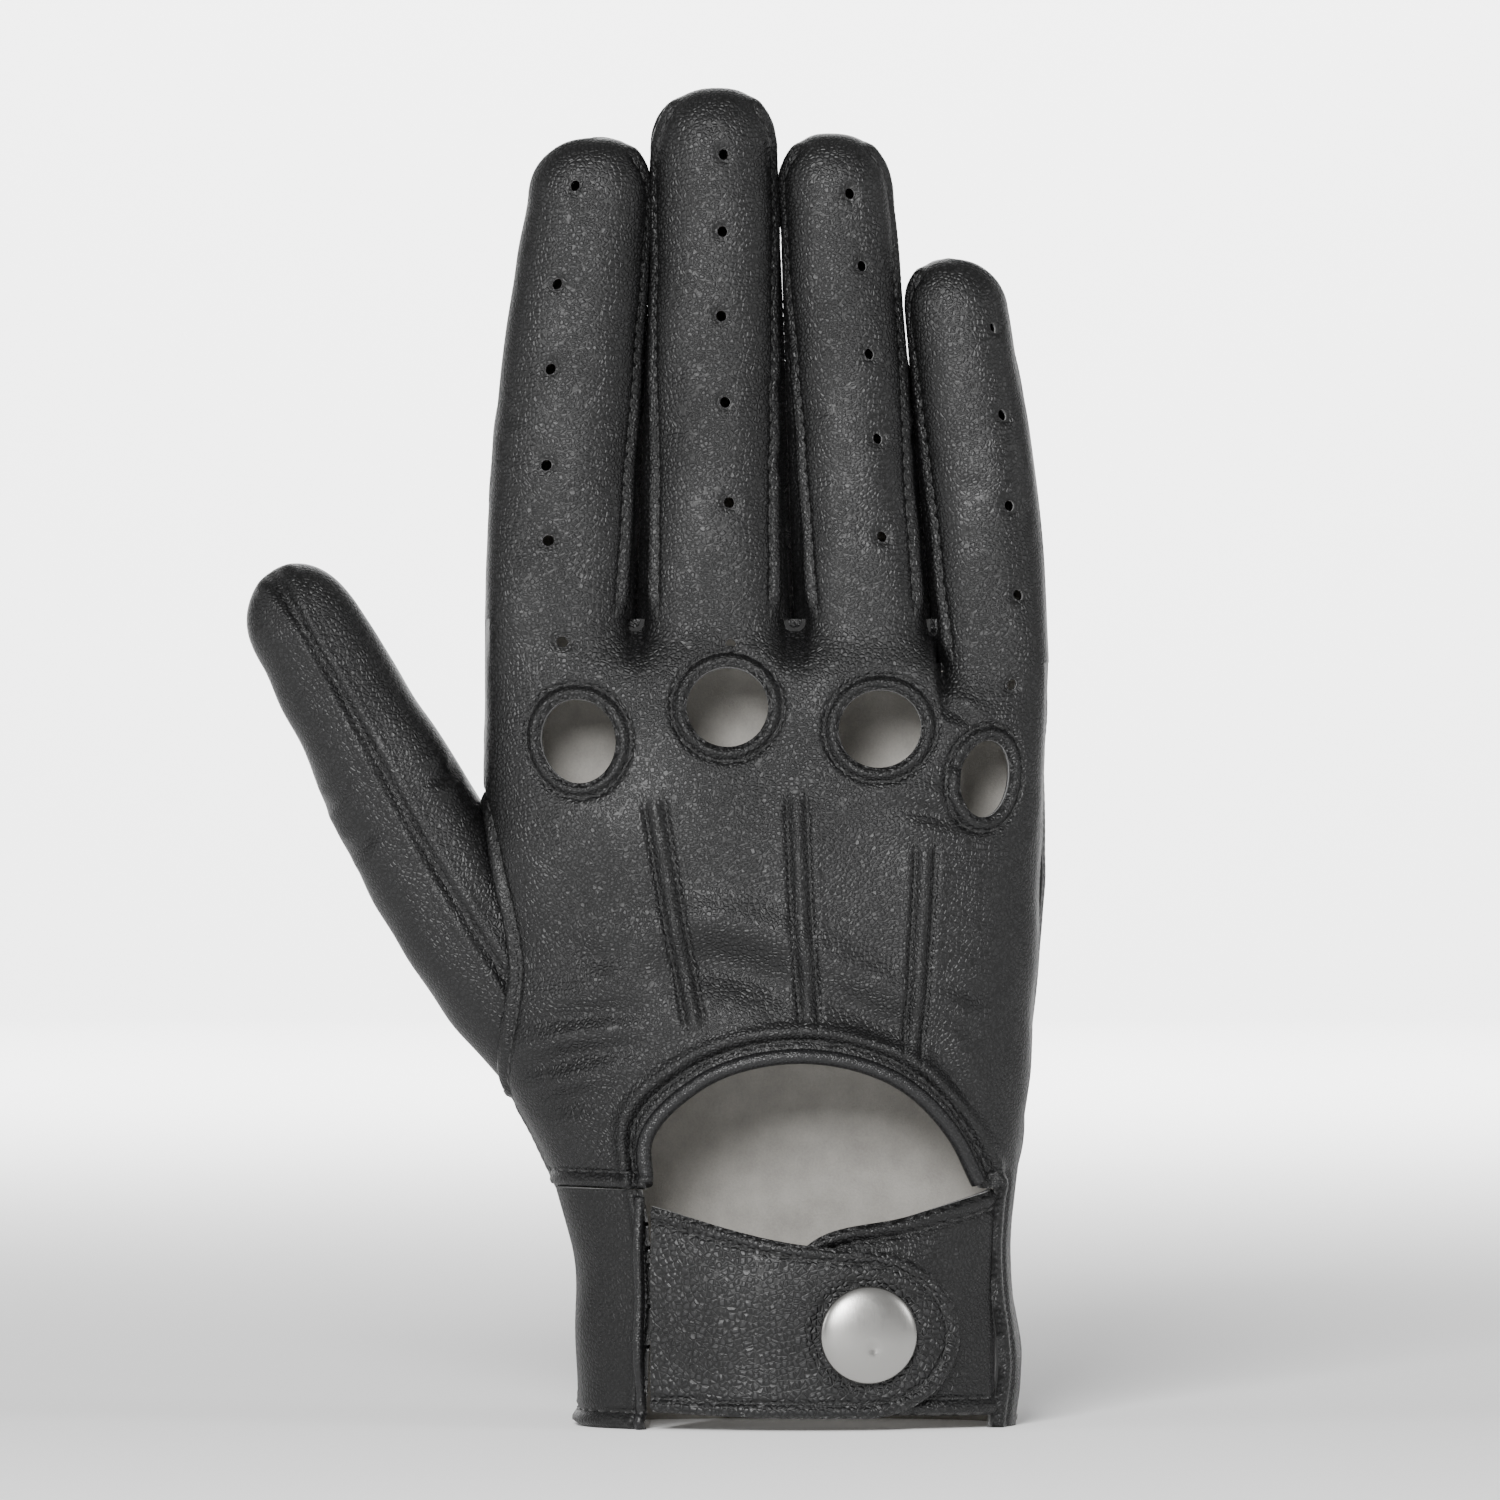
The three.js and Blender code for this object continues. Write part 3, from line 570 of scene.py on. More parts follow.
def add(tree, kind, inputs=None, **settings):
    """One node with its settings; an input is set to a value, or linked to an output or a node's first."""
    node = tree.nodes.new(kind)
    for key, value in settings.items():
        setattr(node, key, value)
    for key, value in (inputs or {}).items():
        if isinstance(value, bpy.types.Node):
            value = next(output for output in value.outputs if output.enabled)
        if isinstance(value, bpy.types.NodeSocket):
            tree.links.new(value, node.inputs[key])
        else:
            node.inputs[key].default_value = value
    return node


def new_material(name):
    """An empty material, its node tree, and places on the object in metres."""
    material = bpy.data.materials.new(name)
    material.use_nodes = True
    tree = material.node_tree
    tree.nodes.clear()
    return material, tree, add(tree, "ShaderNodeTexCoord").outputs["Object"]


def finished(material, shader):
    """The material, with its shader on its surface."""
    add(material.node_tree, "ShaderNodeOutputMaterial", {"Surface": shader})
    return material


def grain_leather(name, dark, light, grain_mm, depth, roughness):
    """Drum-dyed sheep nappa, plated: pebbles, a soft broad shine, and a colour with painted shade in the
    pebbles' valleys and a painted highlight on their tops.
    """
    material, tree, place = new_material(name)
    wander = add(tree, "ShaderNodeTexNoise", {"Vector": place, "Scale": 400.0, "Detail": 2.0})
    shift = add(tree, "ShaderNodeVectorMath", {0: wander.outputs["Color"], "Scale": grain_mm * MM * 0.25},
                operation="SCALE")
    bent = add(tree, "ShaderNodeVectorMath", {0: place, 1: shift}, operation="ADD")
    pebble = add(tree, "ShaderNodeTexVoronoi", {"Vector": bent, "Scale": 1 / (grain_mm * MM)},
                 feature="DISTANCE_TO_EDGE")
    rounded = add(tree, "ShaderNodeMapRange", {"Value": pebble, "From Min": 0.0, "From Max": 0.32},
                  interpolation_type="SMOOTHSTEP")
    pores = add(tree, "ShaderNodeTexNoise",
                {"Vector": place, "Scale": 2.2 / (grain_mm * MM), "Detail": 3.0, "Roughness": 0.6})
    stretch = add(tree, "ShaderNodeTexNoise", {"Vector": place, "Scale": 45.0, "Detail": 3.0})
    keep = add(tree, "ShaderNodeMapRange",
               {"Value": stretch, "From Min": 0.35, "From Max": 0.65, "To Min": 0.45, "To Max": 1.0})
    pebbles = add(tree, "ShaderNodeMath", {0: rounded, 1: keep}, operation="MULTIPLY")
    height = add(tree, "ShaderNodeMath", {0: pores, 1: 0.2, 2: pebbles}, operation="MULTIPLY_ADD")
    relief = add(tree, "ShaderNodeBump", {"Height": height, "Strength": depth, "Distance": 0.0003})
    # Colour darker at each pebble's edge and lighter in its middle: painted shade in the grain's valleys,
    # painted highlight on the pebble tops.
    colour = add(tree, "ShaderNodeMix", {"Factor": rounded, "A": linear(dark), "B": linear(light)},
                 data_type="RGBA")
    shine = add(tree, "ShaderNodeMapRange",
                {"Value": stretch, "From Min": 0.3, "From Max": 0.7,
                 "To Min": roughness - 0.03, "To Max": roughness + 0.04})
    shader = add(tree, "ShaderNodeBsdfPrincipled",
                 {"Base Color": colour, "Roughness": shine, "Normal": relief, "IOR": 1.5,
                  "Specular IOR Level": 0.42})
    return finished(material, shader)


def flesh_side(name, dark, light):
    """The flesh side of the hide, buffed to a short matt nap of 0.4 mm tufts with 4 mm clouds."""
    material, tree, place = new_material(name)
    nap = add(tree, "ShaderNodeTexNoise",
              {"Vector": place, "Scale": 2600.0, "Detail": 4.0, "Roughness": 0.7})
    cloud = add(tree, "ShaderNodeTexNoise", {"Vector": place, "Scale": 220.0, "Detail": 3.0})
    both = add(tree, "ShaderNodeMath", {0: nap, 1: cloud}, operation="ADD")
    tone = add(tree, "ShaderNodeMapRange", {"Value": both, "From Min": 0.4, "From Max": 1.5})
    colour = add(tree, "ShaderNodeMix", {"Factor": tone, "A": linear(dark), "B": linear(light)},
                 data_type="RGBA")
    relief = add(tree, "ShaderNodeBump", {"Height": nap, "Strength": 0.5, "Distance": 0.0002})
    shader = add(tree, "ShaderNodeBsdfPrincipled",
                 {"Base Color": colour, "Normal": relief, "Roughness": 0.95, "Sheen Weight": 0.35,
                  "Sheen Roughness": 0.5})
    return finished(material, shader)


def bonded_thread(name, colour_hex):
    """Bonded polyester sewing thread: three plies twisted together, a dull shine along each."""
    material, tree, place = new_material(name)
    ply = add(tree, "ShaderNodeTexWave", {"Vector": place, "Scale": 900.0, "Distortion": 0.4},
              bands_direction="DIAGONAL")
    relief = add(tree, "ShaderNodeBump", {"Height": ply, "Strength": 0.6, "Distance": 0.0001})
    shader = add(tree, "ShaderNodeBsdfPrincipled",
                 {"Base Color": linear(colour_hex), "Normal": relief, "Roughness": 0.5, "Sheen Weight": 0.2})
    return finished(material, shader)


def brushed_nickel(name, colour_hex, centre_mm, roughness):
    """Nickel plate over brass, brushed across the cap: 0.2 mm lines and a soft streaked shine."""
    material, tree, place = new_material(name)
    centred = add(tree, "ShaderNodeMapping", {"Vector": place, "Location": [-c * MM for c in centre_mm]})
    drawn = add(tree, "ShaderNodeMapping", {"Vector": centred, "Scale": (5000.0, 5000.0, 160.0)})
    lines = add(tree, "ShaderNodeTexNoise", {"Vector": drawn, "Scale": 1.0, "Detail": 3.0})
    cloud = add(tree, "ShaderNodeTexNoise", {"Vector": centred, "Scale": 260.0, "Detail": 2.0})
    streak = add(tree, "ShaderNodeMath", {0: cloud, 1: lines}, operation="MULTIPLY", use_clamp=True)
    rough = add(tree, "ShaderNodeMapRange",
                {"Value": streak, "From Min": 0.12, "From Max": 0.4,
                 "To Min": roughness - 0.02, "To Max": roughness + 0.05})
    relief = add(tree, "ShaderNodeBump", {"Height": lines, "Strength": 0.25, "Distance": 0.00003})
    shader = add(tree, "ShaderNodeBsdfPrincipled",
                 {"Base Color": linear(colour_hex), "Roughness": rough, "Normal": relief, "Metallic": 1.0})
    return finished(material, shader)


# Pebbles of 0.75 mm on the glove, 0.8 mm on its strips and 1 mm on the strap, whose hide is heavier
NAPPA = grain_leather("black_sheep_nappa", "#020202", "#151516", 0.75, 0.5, 0.42)
# A darker copy of the glove's nappa, as painted shade: on the finger strips and forks between the fingers,
# the knuckle facings behind the holes, the cuff side panel turned from the light, and the strap's underside.
SHADED_NAPPA = grain_leather("black_fourchette_nappa", "#020202", "#0b0b0c", 0.8, 0.5, 0.5)
STRAP_NAPPA = grain_leather("pebbled_strap_nappa", "#020202", "#1e1e1f", 1.0, 0.7, 0.4)
PIPING = grain_leather("rolled_binding_nappa", "#0d0d0e", "#1e1e1f", 0.5, 0.3, 0.34)
SUEDE = flesh_side("undyed_flesh_side", "#8f8c87", "#b7b4ae")
CUT_EDGE = flesh_side("dyed_cut_edge", "#161616", "#2a2a2a")
THREAD = bonded_thread("black_bonded_thread", "#0b0b0b")
LEATHER_SET = [NAPPA, SUEDE, CUT_EDGE]
SHADED_SET = [SHADED_NAPPA, SUEDE, CUT_EDGE]
# The strap's flesh side is the darker nappa: painted shade under the strap.
STRAP_SET = [STRAP_NAPPA, SHADED_NAPPA, CUT_EDGE]

# ---- stitches


def stitch_tree():
    """Lays one stitch after another along each run, pressed flat against the leather."""
    tree = bpy.data.node_groups.new("running_stitch", "GeometryNodeTree")
    face = tree.interface
    face.new_socket("Geometry", in_out="INPUT", socket_type="NodeSocketGeometry")
    for name in ("Pitch", "Stitch Length", "Thread"):
        face.new_socket(name, in_out="INPUT", socket_type="NodeSocketFloat")
    face.new_socket("Thread Material", in_out="INPUT", socket_type="NodeSocketMaterial")
    face.new_socket("Geometry", in_out="OUTPUT", socket_type="NodeSocketGeometry")
    given = add(tree, "NodeGroupInput").outputs
    out = add(tree, "GeometryNodeInputNamedAttribute", {"Name": "out"}, data_type="FLOAT_VECTOR")
    curve = add(tree, "GeometryNodeMeshToCurve", {"Mesh": given["Geometry"]})
    steps = add(tree, "GeometryNodeResampleCurve", {"Curve": curve, "Length": given["Pitch"]}, mode="LENGTH")
    spots = add(tree, "GeometryNodeCurveToPoints", {"Curve": steps}, mode="EVALUATED")
    facing = add(tree, "FunctionNodeAxesToRotation",
                 {"Primary Axis": out, "Secondary Axis": spots.outputs["Tangent"]},
                 primary_axis="Z", secondary_axis="X")
    size = add(tree, "ShaderNodeCombineXYZ",
               {"X": given["Stitch Length"], "Y": given["Thread"], "Z": given["Thread"]})
    bead = add(tree, "GeometryNodeMeshUVSphere", {"Segments": 8, "Rings": 5, "Radius": 0.5})
    stitch = add(tree, "GeometryNodeTransform", {"Geometry": bead, "Scale": size})
    placed = add(tree, "GeometryNodeInstanceOnPoints",
                 {"Points": spots, "Instance": stitch, "Rotation": facing})
    real = add(tree, "GeometryNodeRealizeInstances", {0: placed})
    dyed = add(tree, "GeometryNodeSetMaterial", {"Geometry": real, "Material": given["Thread Material"]})
    add(tree, "NodeGroupOutput", {"Geometry": dyed})
    return tree


STITCH_TREE = stitch_tree()


def run_on(skin, line, proud=0.05):
    """A row of stitches: places on a skin and the way out of it, from a line on the flat piece."""
    places, normals, _ = skin.at(line)
    return places + normals * proud, normals


def sew(name, skin, rows, pitch=2.6, length=2.0, thread=0.5):
    """All rows of stitches on one piece, as one mesh: each row is a line on the flat piece."""
    points, edges, outs = [], [], []
    for places, normals in (run_on(skin, row) for row in rows):
        first = len(points)
        points.extend((places * MM).tolist())
        outs.extend(normals.tolist())
        edges.extend((first + k, first + k + 1) for k in range(len(places) - 1))
    guide = bpy.data.meshes.new(f"{name}_guide")
    guide.from_pydata(points, edges, [])
    guide.attributes.new("out", "FLOAT_VECTOR", "POINT").data.foreach_set("vector", np.ravel(outs))
    piece = bpy.data.objects.new(name, guide)
    bpy.context.scene.collection.objects.link(piece)
    modifier = piece.modifiers.new("stitches", "NODES")
    modifier.node_group = STITCH_TREE
    values = {"Pitch": pitch * MM, "Stitch Length": length * MM, "Thread": thread * MM,
              "Thread Material": THREAD}
    for item in STITCH_TREE.interface.items_tree:
        if item.item_type == "SOCKET" and item.in_out == "INPUT" and item.name in values:
            modifier[item.identifier] = values[item.name]
    bpy.context.view_layer.update()
    evaluated = piece.evaluated_get(bpy.context.evaluated_depsgraph_get())
    made = bpy.data.meshes.new_from_object(evaluated)
    piece.modifiers.clear()
    piece.data = made
    made.name = name
    made.polygons.foreach_set("use_smooth", np.ones(len(made.polygons), bool))
    return piece


def shift_line(line, distance, closed=False):
    """The same line, moved sideways over the flat piece; left of its direction is positive."""
    line = np.asarray(line, float)
    if closed:
        along = np.roll(line, -1, 0) - np.roll(line, 1, 0)
    else:
        along = np.gradient(line, axis=0)
    along /= np.maximum(np.linalg.norm(along, axis=1), 1e-9)[:, None]
    return line + distance * np.stack([-along[:, 1], along[:, 0]], -1)


# ---- pieces that stand for CAD nodes: attached to a body, or baked in place


def fix(piece, body, slot, *nodes):
    """The piece moves with one body, and stands for its CAD nodes."""
    if nodes:
        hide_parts(*nodes)
    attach(piece, body)


def bend(piece, bodies, start, end, slot, *nodes):
    """The piece stands for its CAD nodes, with its place baked into its mesh."""
    if nodes:
        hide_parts(*nodes)
    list(bodies)
    tuple(np.array(start) * MM)
    tuple(np.array(end) * MM)
    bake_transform(piece)


# ---- seams, holes and creases in common


class Unevenness:
    """Seeded swells and hollows of stretched leather, fading where the piece joins another."""

    waves = 14

    def __init__(self, seed, size, shortest, longest, fade=None):
        dice = np.random.default_rng(seed)
        length = np.exp(dice.uniform(math.log(shortest), math.log(longest), self.waves))
        turn = dice.uniform(0, 2 * math.pi, self.waves)
        self.phase = dice.uniform(0, 2 * math.pi, self.waves)
        self.along = np.stack([np.cos(turn), np.sin(turn)]) * 2 * math.pi / length
        self.share = size * length / longest / math.sqrt(self.waves / 2)
        self.fade = fade

    def value(self, uv):
        keep = 1.0 if self.fade is None else self.fade(uv)
        return np.sin(uv @ self.along + self.phase) @ self.share * keep

    def heights(self, uv):
        step = 0.1
        ways = [step, 0], [0, step]
        slopes = [(self.value(uv + way) - self.value(uv - way)) / (2 * step) for way in ways]
        return self.value(uv), np.stack(slopes, -1)


def ring_of(centre, across, up, count):
    turn = np.linspace(0, 2 * math.pi, count, endpoint=False)
    return np.asarray(centre) + np.stack([across * np.cos(turn), up * np.sin(turn)], -1)


PUNCH_RADIUS = 0.95


def punched(centre):
    """A small air hole and the leather pressed down round it."""
    loop = ring_of(centre, PUNCH_RADIUS, PUNCH_RADIUS, 18)
    return loop, Line(loop, lambda d: -0.4 * bump(d / 0.7), 2.0, closed=True)


def straight_run(start, end, spacing=1.0):
    start, end = np.array(start, float), np.array(end, float)
    count = max(2, int(np.linalg.norm(end - start) / spacing) + 1)
    return start + (end - start) * np.linspace(0, 1, count)[:, None]


def joined(*runs):
    """Runs of points, each starting where the last one ended, as one closed loop."""
    return np.vstack([run[:-1] for run in runs])


# ---- thumb


class Thumb(Tube):
    """The thumb's tube. Angle 0 is its outer edge, below 0 its back and above 0 its palm side."""

    height, dome = 103.6, 13.6
    half_widths = (13.0, 9.8)
    half_depths = (11.5, 9.0)
    heel, heel_share = 30.0, 0.6
    radius = 11.0
    gusset = 52.0
    joint = 61.0
    buried = {"outer": 1.0, "inner": 20.0}
    squareness = 2.2

    def __init__(self):
        pivot, axis = joint_mm("thumb_bend")
        self.set_height(self.height, self.dome)
        self.across = -axis
        self.direction = np.array([axis[2], 0, -axis[0]])
        self.root = pivot - self.joint * self.direction

    def section(self, level):
        """Half width, half depth, height and how far the tube bows out at a level."""
        share = np.clip(level / self.straight, 0, 1)
        tip = self.round_tip(level)
        swell = np.sin(np.clip(level / self.heel, 0, 1) * math.pi / 2)
        swell = self.heel_share + (1 - self.heel_share) * swell
        closing = np.maximum(np.cos(tip), SMALLEST) ** 0.9
        knuckle = 1 + 0.03 * bump((level - 62) / 9)
        half_width, half_depth = (a + (b - a) * share for a, b in (self.half_widths, self.half_depths))
        height = np.minimum(level, self.straight) + self.dome * np.sin(tip)
        bow = 1.1 * bump((level - 46) / 24)
        return half_width * swell * closing * knuckle + bow, half_depth * swell * closing, height, bow

    def point(self, angle, level):
        half_width, half_depth, height, bow = self.section(level)
        reach = round_corner(angle, self.squareness)
        x = -half_width * reach * np.cos(angle) - bow
        y = half_depth * reach * np.sin(angle)
        place = self.root + height[:, None] * self.direction + x[:, None] * self.across
        return place + y[:, None] * np.array([0, 1, 0])

    def holds(self, points):
        """Which points lie inside the thumb's tube."""
        local = points - self.root
        level, x = local @ self.direction, local @ self.across
        half_width, half_depth, _, bow = self.section(np.clip(level, 0, self.straight))
        powers = (np.abs(x + bow) / half_width) ** self.squareness
        powers = powers + (np.abs(local[:, 1]) / half_depth) ** self.squareness
        return (powers < 1) & (level > 0) & (level < self.straight)

    def flat(self, turn, level):
        """Flat place of an angle from the middle of a half, at a level."""
        return np.stack([turn * self.radius * np.cos(self.round_tip(level)), level + 0 * turn], -1)

    def form(self, middle):
        def place(uv):
            shrink = np.maximum(np.cos(self.round_tip(uv[:, 1])), SMALLEST)
            return self.point(middle + uv[:, 0] / self.radius / shrink, uv[:, 1])
        return place


THUMB = Thumb()


def thumb_seam_on_hand(side):
    """Where the hand's skin meets the thumb's: flat places, from the cuff up."""
    theta = np.linspace(0, math.pi / 2, 500)
    seam = []
    for z in np.arange(45.0, 125.0, 1.0):
        held = THUMB.holds(hand_point(theta, np.full(500, z), side))
        if held[0]:
            seam.append(hand_flat(theta[np.argmin(held)], np.array(z)))
    seam = np.array(seam)
    start, end = seam[0] * [0, 1] - [HAND_MIDDLE, 1.5], seam[-1] * [0, 1] - [HAND_MIDDLE, -1.5]
    smoothed = seam.copy()
    for _ in range(3):
        smoothed[1:-1] = (smoothed[:-2] + 2 * smoothed[1:-1] + smoothed[2:]) / 4
    return np.vstack([start, smoothed, end])


# ---- hand

SIDE_PANEL_TOP = box_mm("cuff_side_panel")[1][2] + HALF_GAP
REAR_EDGE = box_mm("under_strap")[1][0] + HALF_GAP
PIPING_X = box_mm("strap_seam_piping")[0][0] + 0.9
BINDING_LOW, BINDING_HIGH = box_mm("opening_binding")
BINDING_INSET = 1.2
OPENING_LEFT, OPENING_RIGHT = BINDING_LOW[0] + BINDING_INSET, BINDING_HIGH[0] - BINDING_INSET
OPENING_FOOT, OPENING_TOP = SIDE_PANEL_TOP + 1, BINDING_HIGH[2] - BINDING_INSET
# The opening's edge from its left foot, as shares of its width and height
OPENING_SHAPE = np.array([
    (0.005, 0.0), (0.0, 0.32), (0.15, 0.77), (0.46, 1.0), (0.78, 0.77), (0.94, 0.32), (1.0, 0.0),
])
OPENING_SIZE = np.array([OPENING_RIGHT - OPENING_LEFT, OPENING_TOP - OPENING_FOOT])
OPENING = on_hand(smooth_line([OPENING_LEFT, OPENING_FOOT] + OPENING_SHAPE * OPENING_SIZE))

# Each knuckle hole: how far it reaches across and up from its middle
KNUCKLE_REACH = {"index": (6.2, 7.2), "middle": (6.9, 6.9), "ring": (6.8, 6.7), "little": (4.4, 6.6)}
KNUCKLES = {}
for finger_name in FINGER_NAMES:
    low, high = box_mm(f"knuckle_facing_{finger_name}")
    KNUCKLES[finger_name] = ((low + high) / 2, *KNUCKLE_REACH[finger_name])

HAND_PUNCHES = [(-39.9, 134.6), (-11.0, 134.4), (37.3, 127.2)]
TUCKS = [
    [(-24.3, 108.2), (-21.2, 90), (-16.9, 68)],
    [(0.2, 109), (1.0, 90), (2.6, 68)],
    [(22.4, 100.4), (21.6, 84), (20.1, 62)],
]
# Stretch folds of the back: places, depth, width, and which side of the fold stands up
BACK_FOLDS = [
    ([(-31, 71), (-24, 76), (-16, 79), (-6, 77), (4, 71), (10, 66)], 1.9, 4.2, -0.6),
    ([(-2, 82), (8, 73), (22, 68), (30, 70)], 1.2, 3.2, -0.5),
    ([(-50, 59.6), (-35, 64.6), (-20, 66)], 1.0, 2.0, 0),
    ([(-50, 68.8), (-36, 70.4), (-20, 71.5)], 0.8, 2.1, 0),
    ([(-47, 53), (-37, 56.5), (-29, 56)], 0.7, 1.9, 0),
    ([(19, 70), (27, 61), (33, 50)], 0.7, 2.0, 0),
    ([(22.9, 124), (28, 122.2), (32.2, 119.2)], 0.6, 1.2, 0),
    ([(24.3, 114.2), (28, 113.6), (31.6, 112.3)], 0.6, 1.2, 0),
    ([(10.7, 106.8), (22, 105.4), (34.1, 102)], 0.6, 1.6, 0),
    ([(-40, 84), (-34, 80.5), (-27, 83)], 0.6, 2.0, 0),
    ([(25, 78), (32, 74), (37, 74.5)], 0.7, 1.9, 0),
]
PALM_FOLDS = [
    ([(-40, 108), (-25, 101), (-8, 99), (8, 103)], 1.2, 2.2, 0),
    ([(-16, 116), (2, 112), (20, 114), (36, 121)], 1.1, 2.0, 0),
    ([(-34, 98), (-24, 82), (-17, 64), (-15, 50)], 1.3, 2.4, 0),
    ([(20, 96), (27, 84), (33, 76)], 0.8, 2.0, 0),
    ([(-30, 44), (-8, 41.5), (16, 43), (34, 46)], 1.0, 1.9, 0),
    ([(-32, 38), (-6, 36), (22, 38)], 0.7, 1.7, 0),
    ([(-27, 132), (-24, 124), (-26, 116)], 0.5, 1.8, 0),
    ([(-1, 133), (1, 126), (-1, 119)], 0.5, 1.8, 0),
]


def away_from_fingers(uv):
    return ease((CROTCH - 9 - uv[:, 1]) / 12)


def hand_form(side):
    def place(uv):
        theta, z = hand_unflat(uv)
        return hand_point(theta, z, side)
    return place


def hand_edges(side, foot):
    """Flat outline of the hand from the foot of its thumb edge, round the top, to z = 0 opposite."""
    seam = thumb_seam_on_hand(side)
    step = hand_flat_of(LITTLE_STEP_X, CROTCH)[0][0]
    low_top = CROTCH - LITTLE_DROP
    top = [(-HAND_MIDDLE, CROTCH), (step, CROTCH), (step, low_top), (HAND_MIDDLE, low_top)]
    edges = joined(
        straight_run((-HAND_MIDDLE, foot), seam[0]),
        smooth_line(seam),
        straight_run(seam[-1], top[0]),
        *[straight_run(start, end, 0.5) for start, end in zip(top, top[1:])],
        straight_run(top[-1], (HAND_MIDDLE, 0)),
    )
    return edges, smooth_line(seam)


def hand_seams(seam):
    """The seams that both faces of the hand share."""
    sides = [straight_run((x, 0), (x, CROTCH + 5), 4) for x in (-HAND_MIDDLE, HAND_MIDDLE)]
    return [*[Line(edge, closed_seam, 3) for edge in sides], Line(seam, seam_lip, 6)]


def hand_unevenness(seed, size, shortest):
    return [Unevenness(seed, size, shortest, 42, away_from_fingers),
            Unevenness(seed + 1, 0.03, 4, 11, away_from_fingers)]


def folds(table):
    return [crease(on_hand(smooth_line(places, 4.0)), *shape, 0.5) for places, *shape in table]


def hand_back():
    """The back with its knuckle holes, tucks and opening. Returns its skin and the holes' edges."""
    edges, seam = hand_edges(-1, SIDE_PANEL_TOP)
    rear = straight_run(*[hand_flat_of(REAR_EDGE, z)[0] for z in (0.0, SIDE_PANEL_TOP)])
    right_foot, left_foot = (hand_flat_of(x, SIDE_PANEL_TOP)[0] for x in (OPENING_RIGHT, OPENING_LEFT))
    thumb_side = straight_run(left_foot, (-HAND_MIDDLE, SIDE_PANEL_TOP))
    outline = np.vstack([
        edges,
        joined(straight_run((HAND_MIDDLE, 0), rear[0]), rear, straight_run(rear[-1], right_foot, 0.7)),
        OPENING[::-1],
        thumb_side[:-1],
    ])
    knuckle_loops = {name: ring_of(hand_flat_of(middle[0], middle[2])[0], across, up, 64)
                     for name, (middle, across, up) in KNUCKLES.items()}
    punches = [punched(hand_flat_of(x, z)[0]) for x, z in HAND_PUNCHES]
    lines = [
        *hand_seams(seam),
        Line(OPENING, lambda d: 0.9 * bump((d - 4.3) / 1.3) - 0.6 * bump((d - 2.6) / 0.6), 9),
        Line(rear, seam_lip, 6),
        Line(thumb_side, seam_lip, 6),
        *[Line(loop, knuckle_rim, 7, closed=True) for loop in knuckle_loops.values()],
        *[press for _, press in punches],
        *[tuck(on_hand(smooth_line(places, 3.0))) for places in TUCKS],
        *folds(BACK_FOLDS),
        *hand_unevenness(SEED, 0.3, 16),
    ]
    skin = Skin(hand_form(-1), lines, 1)
    holes = [*knuckle_loops.values(), *[loop for loop, _ in punches]]
    piece = leather_piece("back_of_hand", skin, outline, holes, spacing=0.7)
    fix(piece, "hand", "glove_leather", "hand_back")
    tucks = [on_hand(smooth_line(places, 2.0)) for places in TUCKS]
    rows = [
        *[shift_line(loop, -RIM_INSET, True)[np.r_[0:64, 0]] for loop in knuckle_loops.values()],
        shift_line(seam, -STITCH_INSET)[3:-3],
        shift_line(OPENING, 2.6)[2:-2],
        *[shift_line(line, inset) for line in tucks for inset in (-TUCK_HALF_WIDTH, TUCK_HALF_WIDTH)],
        shift_line(rear, -STITCH_INSET),
        straight_run(left_foot + [0, STITCH_INSET], (-HAND_MIDDLE + 1, SIDE_PANEL_TOP + STITCH_INSET)),
    ]
    fix(sew("hand_back_stitches", skin, rows), "hand", "glove_leather")
    return skin, knuckle_loops


def knuckle_rim(d):
    """A hole's turned edge, raised as far as the row of stitches."""
    return 0.6 * bump((d - 1.2) / 0.9) - 0.6 * bump((d - RIM_INSET) / 0.55) + edge_roll(d, 0.9, 0.5)


def knuckle_facings(skin, loops):
    """A ring of thinner leather behind each hole, which the stitches hold."""
    def behind(uv):
        place, _, out = skin.at(uv)
        return place - out * (LEATHER + 0.1)
    under = Skin(behind, (), 1)
    for name, loop in loops.items():
        inner, outer = shift_line(loop, -0.2, True), shift_line(loop, -3.9, True)
        # Darker nappa on the facing: painted shade behind the hole.
        piece = leather_piece(f"{name}_knuckle_facing", under, outer, [inner], 0.9, 0.7, SHADED_SET)
        fix(piece, "hand", "glove_leather", f"knuckle_facing_{name}")


def hand_palm():
    edges, seam = hand_edges(1, 0)
    outline = np.vstack([edges, straight_run((HAND_MIDDLE, 0), (-HAND_MIDDLE, 0))[:-1]])
    hem = straight_run((-HAND_MIDDLE, 0), (HAND_MIDDLE, 0))
    lines = [
        *hand_seams(seam),
        Line(hem, seam_lip, 6),
        *folds(PALM_FOLDS),
        *hand_unevenness(SEED + 2, 0.4, 14),
    ]
    skin = Skin(hand_form(1), lines, -1)
    piece = leather_piece("palm_of_hand", skin, outline, spacing=0.9)
    fix(piece, "hand", "glove_leather", "hand_palm")
    rows = [hem + [0, STITCH_INSET], shift_line(seam, -STITCH_INSET)[3:-3]]
    fix(sew("hand_palm_stitches", skin, rows), "hand", "glove_leather")


def opening_binding(skin):
    """Rolled leather that binds the opening."""
    path, _, out = skin.at(OPENING)
    piece = cord_piece("opening_binding_roll", smooth_line(path - out * 0.3, 0.5), 1.35, PIPING, 16)
    fix(piece, "hand", "piping_leather", "opening_binding")


# ---- fingers

